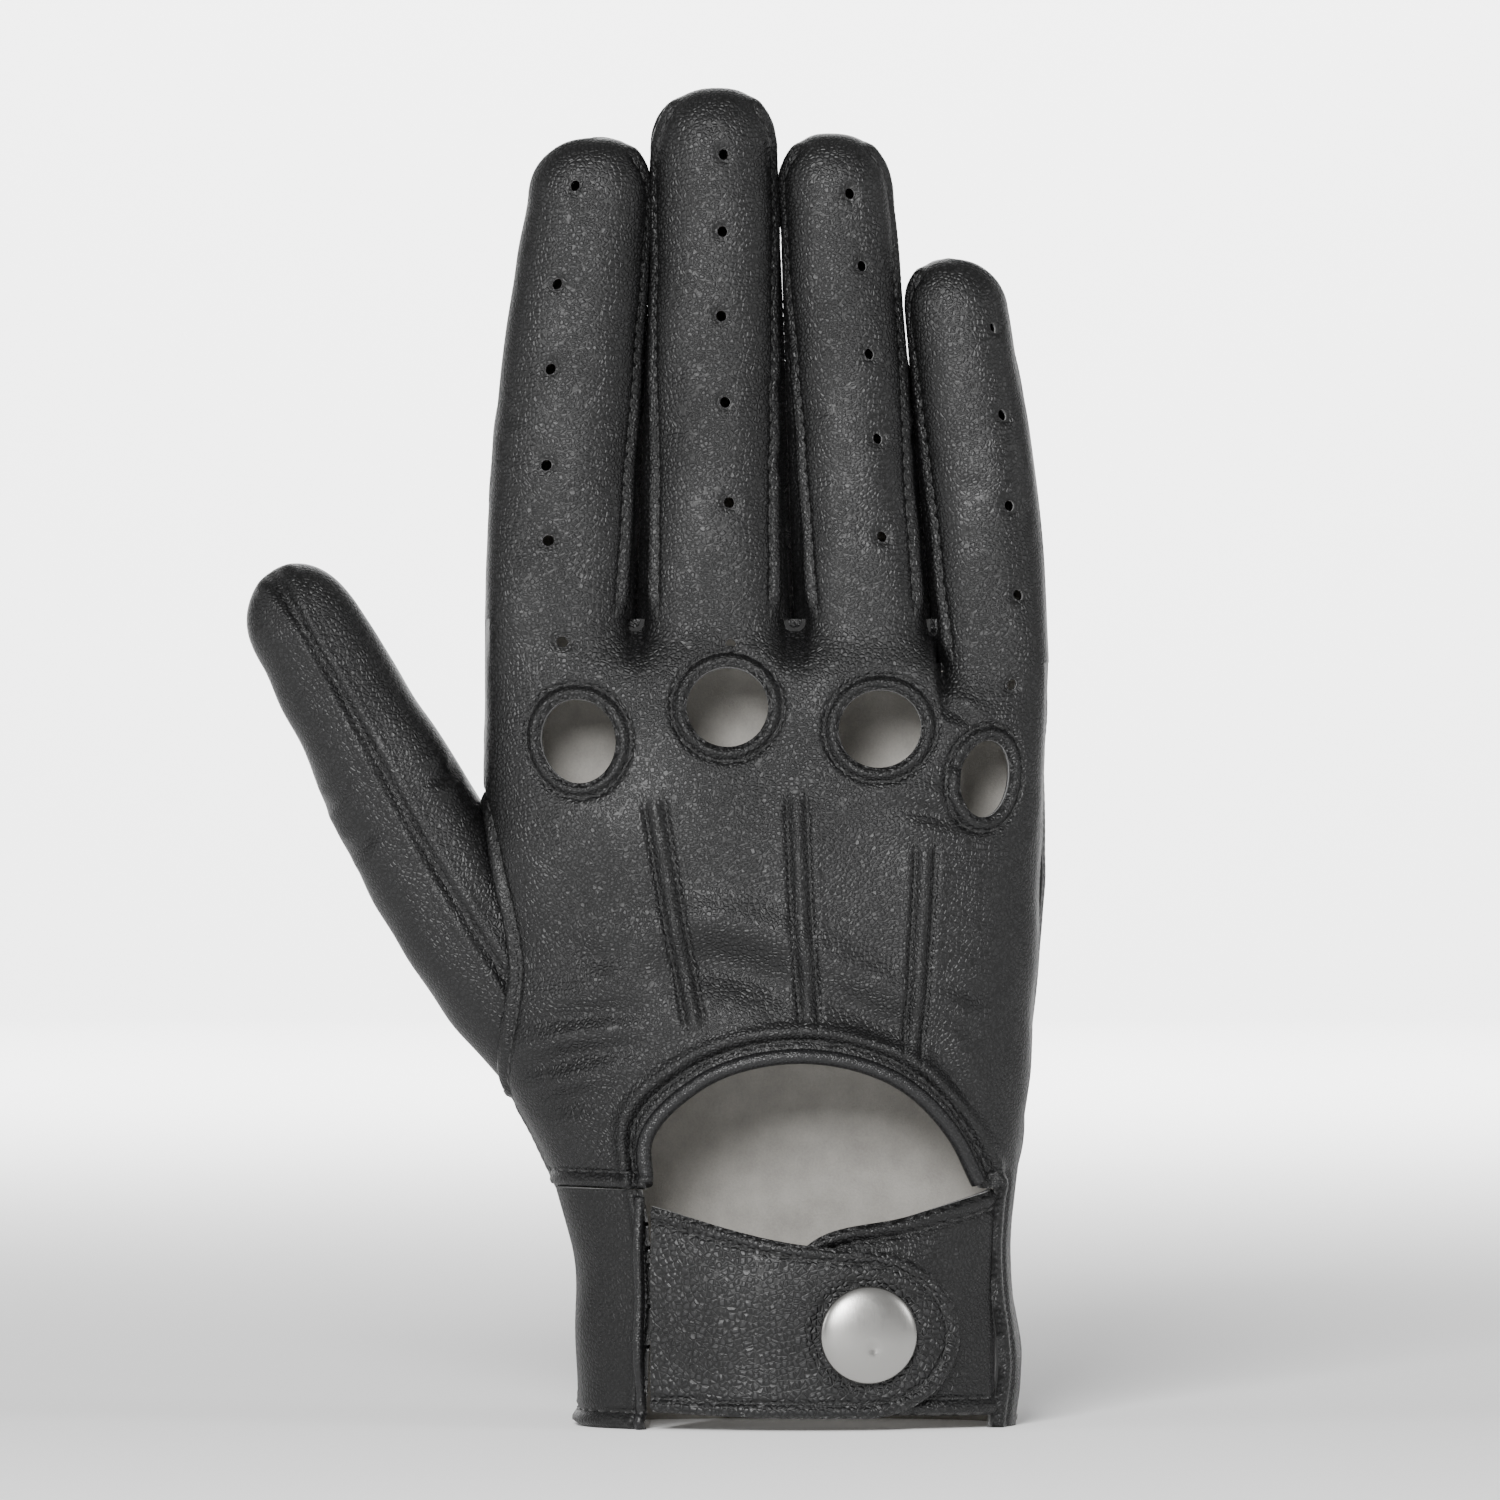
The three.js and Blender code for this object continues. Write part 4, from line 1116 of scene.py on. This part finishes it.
PUNCHES = {
    "index": [(-37.8, 212.6), (-40.9, 195.9), (-42.0, 181.3), (-42.7, 164.8), (-42.3, 151.9)],
    "middle": [(-12.2, 218.1), (-12.4, 204.9), (-12.6, 190.4), (-11.9, 175.6), (-11.2, 158.4)],
    "ring": [(9.5, 211.4), (11.7, 199.0), (12.9, 183.9), (14.4, 169.4), (15.1, 152.6)],
    "little": [(34.4, 188.5), (35.9, 173.5), (37.0, 157.9), (38.5, 142.6)],
}
FINGER_FOLDS = {
    "index": [
        ((-50, 172), (-46.5, 174.5)), ((-50.5, 166), (-46, 167.5)),
        ((-34, 171), (-30.5, 173)), ((-35, 163), (-31, 162)),
    ],
    "middle": [
        ((-22.2, 179.4), (-17.7, 182.7)), ((-23, 170.5), (-18, 171.5)),
        ((-6, 176.5), (-2.5, 179)), ((-6.5, 166), (-2, 165)),
    ],
    "ring": [
        ((2.5, 174), (7.2, 174.8)), ((2.8, 163), (7.2, 163.6)),
        ((3.4, 155), (7.9, 155.4)), ((18.5, 168), (21.5, 170)),
    ],
    "little": [
        ((27, 158.9), (30, 161), (34.1, 161.5)), ((27.5, 151.9), (32.9, 152.6)),
        ((37.5, 155), (41, 156.8)),
    ],
}
# The strips stop this far from the middle between two fingers, and follow an S there, so that
# no light shows straight through
STRIP_CLEARANCE = 0.08
STRIP_WANDER = 0.32
STRIP_SEAM = 1.0


def finger_edge(finger, which, start, end, spacing=1.0):
    """One long edge of a finger's back or palm, on the flat piece, upwards."""
    level = np.linspace(start, end, max(2, int((end - start) / spacing) + 1))
    lean_in = finger.seam(level) if which in finger.strips else np.zeros(len(level))
    return finger.flat(lean_in if which == "thumbside" else math.pi - lean_in, level)


def finger_form(finger, side):
    def place(uv):
        theta, level = finger.unflat(uv)
        return finger.point(theta, level, side)
    return place


def finger_skin(finger, side):
    lines = []
    for which in SIDES:
        if which in finger.strips:
            edge = finger_edge(finger, which, 0, finger.straight + 0.75 * finger.dome_arc, 2)
            lines.append(Line(edge, seam_lip, 6, fade=0.05))
        else:
            lines.append(Line(finger_edge(finger, which, -5, finger.length - 0.5, 2), closed_seam, 3))
    if side < 0:
        for places in FINGER_FOLDS[finger.name]:
            flat = np.array([finger.flat_of(x, z) for x, z in places])
            lines.append(crease(flat if len(flat) > 2 else straight_run(*flat), 0.25, 1.6, 0, 0.5))
    else:
        width = finger.middle_arc - 6
        for level in (finger.joint - 3, finger.joint + 2.5, finger.joint + 27):
            fold = smooth_line([(-width, level + 1.5), (0, level), (width, level + 1.5)])
            lines.append(crease(fold, 0.8, 1.3))
    seed = SEED + 10 * FINGER_NAMES.index(finger.name) + (5 if side > 0 else 0)
    lines.append(Unevenness(seed, 0.14, 10, 26, lambda uv: ease(uv[:, 1] / 12)))
    return Skin(finger_form(finger, side), lines, -side)


def finger_spans(finger):
    """The soft root, round the knuckle, and the rest, round the middle joint.

    Each is its name, its lowest and highest level, its CAD part, and the two bodies and two places that it
    hands to bend().
    """
    lower, upper = f"{finger.name}_lower", f"{finger.name}_upper"
    foot, knuckle, past_joint = (finger.foot(k) for k in (0, finger.split, 2 * finger.joint - finger.split))
    yield "root", 0, finger.split, "lower", (("hand", lower), foot, knuckle)
    yield "length", finger.split, finger.length, "upper", ((lower, upper), knuckle, past_joint)


def finger_leather(finger, side):
    """A finger's back or palm: its root and its length, with the rows of stitches on them."""
    face = "back" if side < 0 else "palm"
    skin = finger_skin(finger, side)
    for part, low, high, cad, bending in finger_spans(finger):
        left, right = (finger_edge(finger, which, low, high, 0.8) for which in SIDES)
        foot = straight_run(right[0], left[0], 0.6)[1:-1]
        if part == "root":
            outline = np.vstack([left, straight_run(left[-1], right[-1], 0.6)[1:-1], right[::-1], foot])
        else:
            outline = np.vstack([left, right[-2::-1], foot])
        centres = [finger.flat_of(x, z) for x, z in PUNCHES[finger.name]] if side < 0 else []
        punches = [punched(centre) for centre in centres if low < centre[1] < high]
        local = Skin(skin.form, [*skin.lines, *[press for _, press in punches]], -side)
        name = f"{finger.name}_{face}_{part}"
        piece = leather_piece(name, local, outline, [loop for loop, _ in punches], 0.7)
        bend(piece, *bending, "glove_leather", f"{finger.name}_{face}_{cad}")
        end = min(high, finger.straight + 0.55 * finger.dome_arc)
        inset = {"thumbside": -STITCH_INSET, "littleside": STITCH_INSET}
        rows = [shift_line(finger_edge(finger, side_name, low + 0.8, end), inset[side_name])
                for side_name in finger.strips]
        bend(sew(f"{name}_stitches", skin, rows), *bending, "glove_leather")


def neighbour(finger, which):
    step = -1 if which == "thumbside" else 1
    return FINGERS[FINGER_NAMES[FINGER_NAMES.index(finger.name) + step]]


def room_between(finger, other, z):
    """Half the clear space between two fingers, at a height."""
    near, far = finger.section(z - finger.root_z), other.section(z - other.root_z)
    return (np.abs(far[0] - near[0]) - near[1] - far[1]) / 2


def side_strips(finger):
    """The narrow strips between back and palm, which bulge until they meet the next finger's; their darker
    nappa is painted shade between the fingers.
    """
    scale = FINGER_BASE_DEPTH / 2

    def half_strip(level):
        return finger.seam(level) * scale + STRIP_SEAM

    for which in finger.strips:
        middle, away = (0, -1) if which == "thumbside" else (math.pi, 1)
        other = neighbour(finger, which)

        def place(uv, middle=middle, away=away, other=other):
            outside = finger.point(middle + uv[:, 0] / scale, uv[:, 1], 1)
            fullness = np.clip(1 - (uv[:, 0] / half_strip(uv[:, 1])) ** 2, 0, 1)
            beside = ease((other.root_z + other.straight - outside[:, 2]) / 12)
            room = room_between(finger, other, outside[:, 2]) - STRIP_CLEARANCE
            bulge = np.clip(room, -0.6, 2.0) * beside
            wander = STRIP_WANDER * np.sin(1.1 * outside[:, 1]) * np.clip(2 * fullness, 0, 1)
            outside[:, 0] += away * ((bulge + 0.5) * fullness - 0.5) + wander
            return outside

        skin = Skin(place, (), -1)
        for part, low, high, cad, bending in finger_spans(finger):
            top = min(high, finger.straight - 6)
            level = np.linspace(low, top, int((top - low) / 0.9) + 2)
            half = half_strip(level)
            left, right = np.stack([-half, level], -1), np.stack([half, level], -1)[::-1]
            top_end = straight_run(left[-1], right[0], 0.9)[1:-1]
            foot_end = straight_run(right[-1], left[0], 0.9)[1:-1]
            outline = np.vstack([left, top_end, right, foot_end])
            name = f"{finger.name}_{which}_strip_{part}"
            piece = leather_piece(name, skin, outline, (), 0.9, 0.8, SHADED_SET)
            bend(piece, *bending, "fourchette_leather", f"{finger.name}_fourchette_{which}_{cad}")


def crotch_folds():
    """The leather that closes each fork between two fingers, folded open side up."""
    thickness = 0.7
    for left, right in zip(FINGER_NAMES, FINGER_NAMES[1:]):
        low, high = box_mm(f"crotch_fold_{left}_{right}")
        middle, half = (low[0] + high[0]) / 2, (high[0] - low[0]) / 2 - 0.1
        floor, reach = low[2] + thickness + 0.2, (high[1] - low[1]) / 2 - 4.0
        rise = np.array([FINGERS[left].root_z, FINGERS[right].root_z]) - floor

        def place(uv, middle=middle, half=half, floor=floor, rise=rise):
            across = uv[:, 0] / half
            x = middle + half * np.sin(across * math.pi / 2)
            return np.stack([x, uv[:, 1], floor + np.where(across < 0, *rise) * across**2], -1)

        corners = np.array([(-half, -reach), (half, -reach), (half, reach), (-half, reach)])
        outline = joined(*[straight_run(corners[k - 1], corners[k], spacing)
                           for k, spacing in ((1, 0.3), (2, 0.8), (3, 0.3), (0, 0.8))])
        # Darker nappa on the fork: painted shade deep between the fingers.
        piece = leather_piece(f"{left}_{right}_fork", Skin(place), outline, (), 0.6, thickness, SHADED_SET)
        fix(piece, "hand", "fourchette_leather", f"crotch_fold_{left}_{right}")


# ---- thumb leather

THUMB_FOLDS = {
    "outer": [([(-14, 57), (-6, 55), (0, 56.5)], 0.6, 1.5), ([(-12, 66), (-5, 64), (2, 65)], 0.5, 1.3)],
    "inner": [([(14, 60), (7, 58), (2, 59.5)], 0.6, 1.5)],
}


def thumb_skin(half, middle):
    lines = []
    level = np.linspace(0, THUMB.length - 0.5, 90)
    for turn in (-math.pi / 2, math.pi / 2):
        lines.append(Line(THUMB.flat(turn + 0 * level, level), thumb_groove, 4, fade=0.05))
    lines.append(Unevenness(SEED + 60 + int(middle), 0.2, 10, 26))
    for places, depth, width in THUMB_FOLDS[half]:
        lines.append(crease(smooth_line(places), depth, width))
    return Skin(THUMB.form(middle), lines, -1)


def thumb_leather():
    """Outer and inner halves: the part sewn into the hand, and the length above it."""
    for half, middle in (("outer", 0.0), ("inner", math.pi)):
        skin = thumb_skin(half, middle)
        for part, low, high in (("gusset", THUMB.buried[half], THUMB.gusset),
                                ("length", THUMB.gusset, THUMB.length)):
            level = np.linspace(low, high, int((high - low) / 0.8))
            left, right = (THUMB.flat(turn + 0 * level, level) for turn in (-math.pi / 2, math.pi / 2))
            foot = straight_run(left[0], right[0], 0.8)[1:-1][::-1]
            if part == "gusset":
                outline = np.vstack([left, straight_run(left[-1], right[-1], 0.8)[1:-1], right[::-1], foot])
            else:
                outline = np.vstack([left, right[-2::-1], foot])
            piece = leather_piece(f"thumb_{half}_{part}", skin, outline)
            if part == "gusset":
                fix(piece, "hand", "glove_leather", *(["thumb_gusset"] if half == "outer" else []))
            else:
                start, end = (THUMB.root + k * THUMB.direction
                              for k in (THUMB.gusset, 2 * THUMB.joint - THUMB.gusset))
                bend(piece, ("hand", "thumb"), start, end, "glove_leather",
                     f"thumb_{half}_lower", f"thumb_{half}_upper")


def thumb_groove(d):
    return -0.7 * bump(d / 0.8) + 0.3 * bump((d - 1.8) / 1.0)


# ---- cuff, strap and snap

STRAP_END = 28.6
STRAP_FACE = 2.6
STRAP_LEATHER = 1.6
STRAP_HINGE = (-25.6, 0, 0), (-20.0, 0, 0)
SNAP = np.array([12.0, (box_mm("snap_cap")[0][2] + box_mm("snap_cap")[1][2]) / 2])
SOCKET_BORE, STUD_BORE = 5.3, 1.6


def cuff_form(lift):
    """The cuff's back at a place seen from behind the hand, raised by a lift."""
    def place(uv):
        centre, half_width, half_depth, squareness = hand_section(uv[:, 1])
        share = np.clip(np.abs(uv[:, 0] - centre) / (half_width + lift), 0, 0.9999)
        y = -(half_depth + lift) * (1 - share**squareness) ** (1 / squareness)
        return np.stack([uv[:, 0], y, uv[:, 1]], -1)
    return place


def cuff_side():
    """The smooth panel on the thumb side of the cuff."""
    top = SIDE_PANEL_TOP - 0.1
    border = straight_run(*[hand_flat_of(PIPING_X + 0.2, z)[0] for z in (0.0, top)])
    hem = straight_run((-HAND_MIDDLE, 0), border[0])
    outline = joined(hem, border, straight_run(border[-1], (-HAND_MIDDLE, top)),
                     straight_run((-HAND_MIDDLE, top), (-HAND_MIDDLE, 0)))
    lines = [
        Line(straight_run((-HAND_MIDDLE, -2), (-HAND_MIDDLE, CROTCH)), closed_seam, 3),
        Line(border, lambda d: 0.5 * bump((d - 2.6) / 1.0) - 0.4 * bump((d - 1.2) / 0.5), 5),
        Line(hem, seam_lip, 6),
        Unevenness(SEED + 70, 0.3, 12, 30),
    ]
    skin = Skin(hand_form(-1), lines, 1)
    # Darker nappa on the side panel: painted shade where the cuff turns from the light.
    piece = leather_piece("cuff_side", skin, outline, materials=SHADED_SET)
    fix(piece, "hand", "fourchette_leather", "cuff_side_panel")
    fix(sew("cuff_side_stitches", skin, [hem + [0, STITCH_INSET]]), "hand", "glove_leather")
    levels = np.linspace(0.4, SIDE_PANEL_TOP - 1.2, 50)
    path = skin.at(np.stack([hand_flat_of(PIPING_X, z)[0] for z in levels]))[0]
    fix(cord_piece("strap_seam_roll", path, 0.95, PIPING), "hand", "piping_leather", "strap_seam_piping")


def strap_outline():
    """The strap's outline, and the part of it that is sewn, seen from the back."""
    low, high = box_mm("strap")
    start, middle = low[0] + 0.05, low[2] + STRAP_END / 2
    turn = np.linspace(-math.pi / 2, math.pi / 2, 60)
    end = np.stack([SNAP[0] + (high[0] - SNAP[0]) * np.cos(turn), middle + STRAP_END / 2 * np.sin(turn)], -1)
    foot = smooth_line([(start, low[2] + 1), (-6, low[2] + 0.2), (SNAP[0], low[2])])
    top = smooth_line([end[-1], (0, high[2] - 6.2), (start, high[2])])
    sewn = np.vstack([foot[:-1], end, top[1:]])
    return np.vstack([sewn, straight_run(top[-1], foot[0])[1:-1]]), sewn


def strap():
    """The closing strap, sewn in at its root."""
    outline, sewn = strap_outline()
    bore = ring_of(SNAP, SOCKET_BORE, SOCKET_BORE, 48)

    def edge(d):
        return edge_roll(d, 0.9, 0.6) + 0.3 * bump((d - 1.3) / 0.9) - 0.4 * bump((d - 2.4) / 0.5)

    lines = [
        Line(sewn, edge, 5),
        Line(bore, lambda d: -0.35 * bump((d - 3.2) / 1.2), 7, closed=True),
        Unevenness(SEED + 80, 0.12, 8, 24),
    ]
    skin = Skin(cuff_form(STRAP_FACE), lines, 1)
    piece = leather_piece("strap_leather", skin, outline, [bore], 0.7, STRAP_LEATHER, STRAP_SET)
    bend(piece, ("hand", "strap"), *STRAP_HINGE, "strap_leather", "strap")
    row = shift_line(smooth_line(sewn[::4], 1.0), 2.4)[3:-3]
    bend(sew("strap_stitches", skin, [row], 2.4, 1.85), ("hand", "strap"), *STRAP_HINGE, "strap_leather")


def under_strap():
    """The short strap on the little finger's side, which carries the snap's stud."""
    low, high = box_mm("under_strap")
    rear, end, foot, top = REAR_EDGE, low[0], low[2], SIDE_PANEL_TOP - HALF_GAP
    slope = 8 / (rear - 6)
    upper = smooth_line([
        (rear, top), (20, top - slope * (rear - 20)), (end + 6, top - slope * (rear - end - 6)),
        (end + 0.6, 24), (end, 17), (end + 1, 8), (end + 6, foot),
    ])
    hem = straight_run((end + 6, foot), (rear, foot - 0.8))
    sewn = np.vstack([upper[:-1], hem])
    outline = joined(sewn, straight_run((rear, foot - 0.8), (rear, top)))
    lines = [
        Line(sewn, seam_lip, 6),
        Line(straight_run((rear, foot), (rear, top)), closed_seam, 4),
        Unevenness(SEED + 90, 0.2, 9, 26),
    ]
    skin = Skin(cuff_form(0.0), lines, 1)
    bore = ring_of(SNAP, STUD_BORE, STUD_BORE, 20)
    piece = leather_piece("under_strap_leather", skin, outline, [bore])
    fix(piece, "hand", "glove_leather", "under_strap")
    row = shift_line(sewn, STITCH_INSET)[2:-2]
    fix(sew("under_strap_stitches", skin, [row]), "hand", "glove_leather")


def turned(name, profile, material, dent=0.0):
    """A metal part turned round the snap's axis: profile is radius and height off the cuff's skin."""
    sides = 96
    seat, beside = cuff_form(0.0)(np.array([SNAP, SNAP + [0.5, 0]]))
    beside = beside - seat
    out = np.array([beside[1], -beside[0], 0]) / math.hypot(beside[0], beside[1])
    across, up = np.cross([0, 0, 1], out), np.array([0, 0, 1.0])
    turn = np.linspace(0, 2 * math.pi, sides, endpoint=False)
    closed = profile[0] == profile[-1]
    rings = []
    for radius, height in profile[:-1] if closed else profile:
        x, z = radius * np.cos(turn), radius * np.sin(turn)
        lift = height - dent * bump(np.hypot(x - 0.6, z + 2.2) / 0.9)
        rings.append(seat + x[:, None] * across + z[:, None] * up + lift[:, None] * out)
    middles = [] if closed else [rings[0].mean(0), rings[-1].mean(0)]
    faces = lathe_faces(len(rings), sides, closed)
    piece = mesh_object(name, np.vstack([*rings, *middles]), faces, [material])
    piece.data.set_sharp_from_angle(angle=math.radians(40))
    return piece


def rounded_corner(radius, height, size, start, end, steps=5):
    """Points of a rounded corner of a turned profile, between two angles in degrees."""
    turn = np.radians(np.linspace(start, end, steps))
    return [(radius + size * math.cos(t), height + size * math.sin(t)) for t in turn]


def snap_fastener():
    """The four metal parts of the snap. Each profile goes from the axis outwards and back."""
    seat = cuff_form(0.0)(SNAP[None])[0]
    cap_metal = brushed_nickel("brushed_nickel_plate", "#a9a8a5", seat, 0.3)
    plain_metal = brushed_nickel("bright_nickel_plate", "#bdbbb6", seat, 0.22)
    dome = [(8.3 * math.cos(t), 3.5 + 2.0 * math.sin(t)) for t in np.radians(np.linspace(8, 89.8, 24))]
    cap = [(0.02, 2.75), *rounded_corner(7.8, 3.3, 0.55, -90, 0), *dome]
    ring = [(2.9, 1.3), (2.9, 2.3), *rounded_corner(3.2, 2.5, 0.3, 180, 90, 4), (4.9, 2.8), (4.9, 1.1),
            *rounded_corner(4.4, 0.9, 0.3, 0, -90, 4), *rounded_corner(3.2, 0.9, 0.3, -90, -180, 4),
            (2.9, 1.3)]
    stud = [(0.02, 0.15), (4.5, 0.15), *rounded_corner(4.5, 0.35, 0.15, 0, 90, 3), (1.9, 0.75),
            (1.8, 1.2), *rounded_corner(1.9, 1.75, 0.4, -60, 80, 6), (0.02, 2.2)]
    post = [(0.02, -2.0), (4.0, -2.0), *rounded_corner(4.0, -1.8, 0.2, -90, 90, 5), (1.2, -1.5),
            (1.2, 0.1), (0.02, 0.1)]
    fix(turned("snap_cap_dome", cap, cap_metal, 0.3), "strap", "nickel", "snap_cap")
    fix(turned("snap_socket_ring", ring, plain_metal), "strap", "nickel", "snap_socket")
    fix(turned("snap_stud_post", stud, plain_metal), "hand", "nickel", "snap_stud")
    fix(turned("snap_back_plate", post, plain_metal), "hand", "nickel", "snap_post")


# ---- the glove


def glove():
    back_skin, loops = hand_back()
    knuckle_facings(back_skin, loops)
    hand_palm()
    opening_binding(back_skin)
    for finger in FINGERS.values():
        finger_leather(finger, -1)
        finger_leather(finger, 1)
        side_strips(finger)
    crotch_folds()
    thumb_leather()
    cuff_side()
    strap()
    under_strap()
    snap_fastener()


# ---- floor, light and camera


def plain_matt(name, colour_hex):
    """Plain matt board, painted."""
    material, tree, _ = new_material(name)
    shader = add(tree, "ShaderNodeBsdfPrincipled", {"Base Color": linear(colour_hex), "Roughness": 0.9})
    return finished(material, shader)


def area_light(name, place, target, size, power):
    light = bpy.data.lights.new(name, "AREA")
    light.shape, light.size, light.energy = "SQUARE", size, power
    lamp = bpy.data.objects.new(name, light)
    bpy.context.scene.collection.objects.link(lamp)
    lamp.location = place
    away = Vector(place) - Vector(target)
    lamp.rotation_euler = away.to_track_quat("Z", "Y").to_euler()


def studio():
    """A pale floor that turns up into a wall behind, soft light, and the camera."""
    half, height, floor_z = 4000.0, 4000.0, -0.05
    front, back = -3000.0, 3000.0
    bends = (front, floor_z), (back, floor_z), (back, height)
    corners = [(x, y, z) for y, z in bends for x in (-half, half)]
    paint = plain_matt("pale_studio_paint", "#fbfbfb")
    mesh_object("floor_and_wall", corners, [(0, 1, 3, 2), (2, 3, 5, 4)], [paint])
    middle = (-0.008, 0.0, 0.115)
    area_light("key_light", (-0.2, -1.1, 0.5), middle, 0.35, 16)
    area_light("left_light", (-0.9, -0.35, 0.35), middle, 0.3, 1.5)
    area_light("right_light", (0.9, -0.35, 0.4), middle, 0.3, 2)
    area_light("wall_light", (0.0, 1.5, 1.7), (0.0, 3.0, 0.4), 0.6, 190)
    world = bpy.data.worlds.new("pale_room")
    world.use_nodes = True
    world.node_tree.nodes["Background"].inputs["Color"].default_value = (1, 1, 1, 1)
    world.node_tree.nodes["Background"].inputs["Strength"].default_value = 0.4
    bpy.context.scene.world = world
    camera = bpy.data.cameras.new("camera")
    camera.lens, camera.sensor_width = 279.0, 36
    eye = bpy.data.objects.new("camera", camera)
    bpy.context.scene.collection.objects.link(eye)
    eye.location = (-0.0077, -2.0, 0.116)
    eye.rotation_euler = (math.pi / 2, 0, 0)
    bpy.context.scene.camera = eye


glove()
studio()
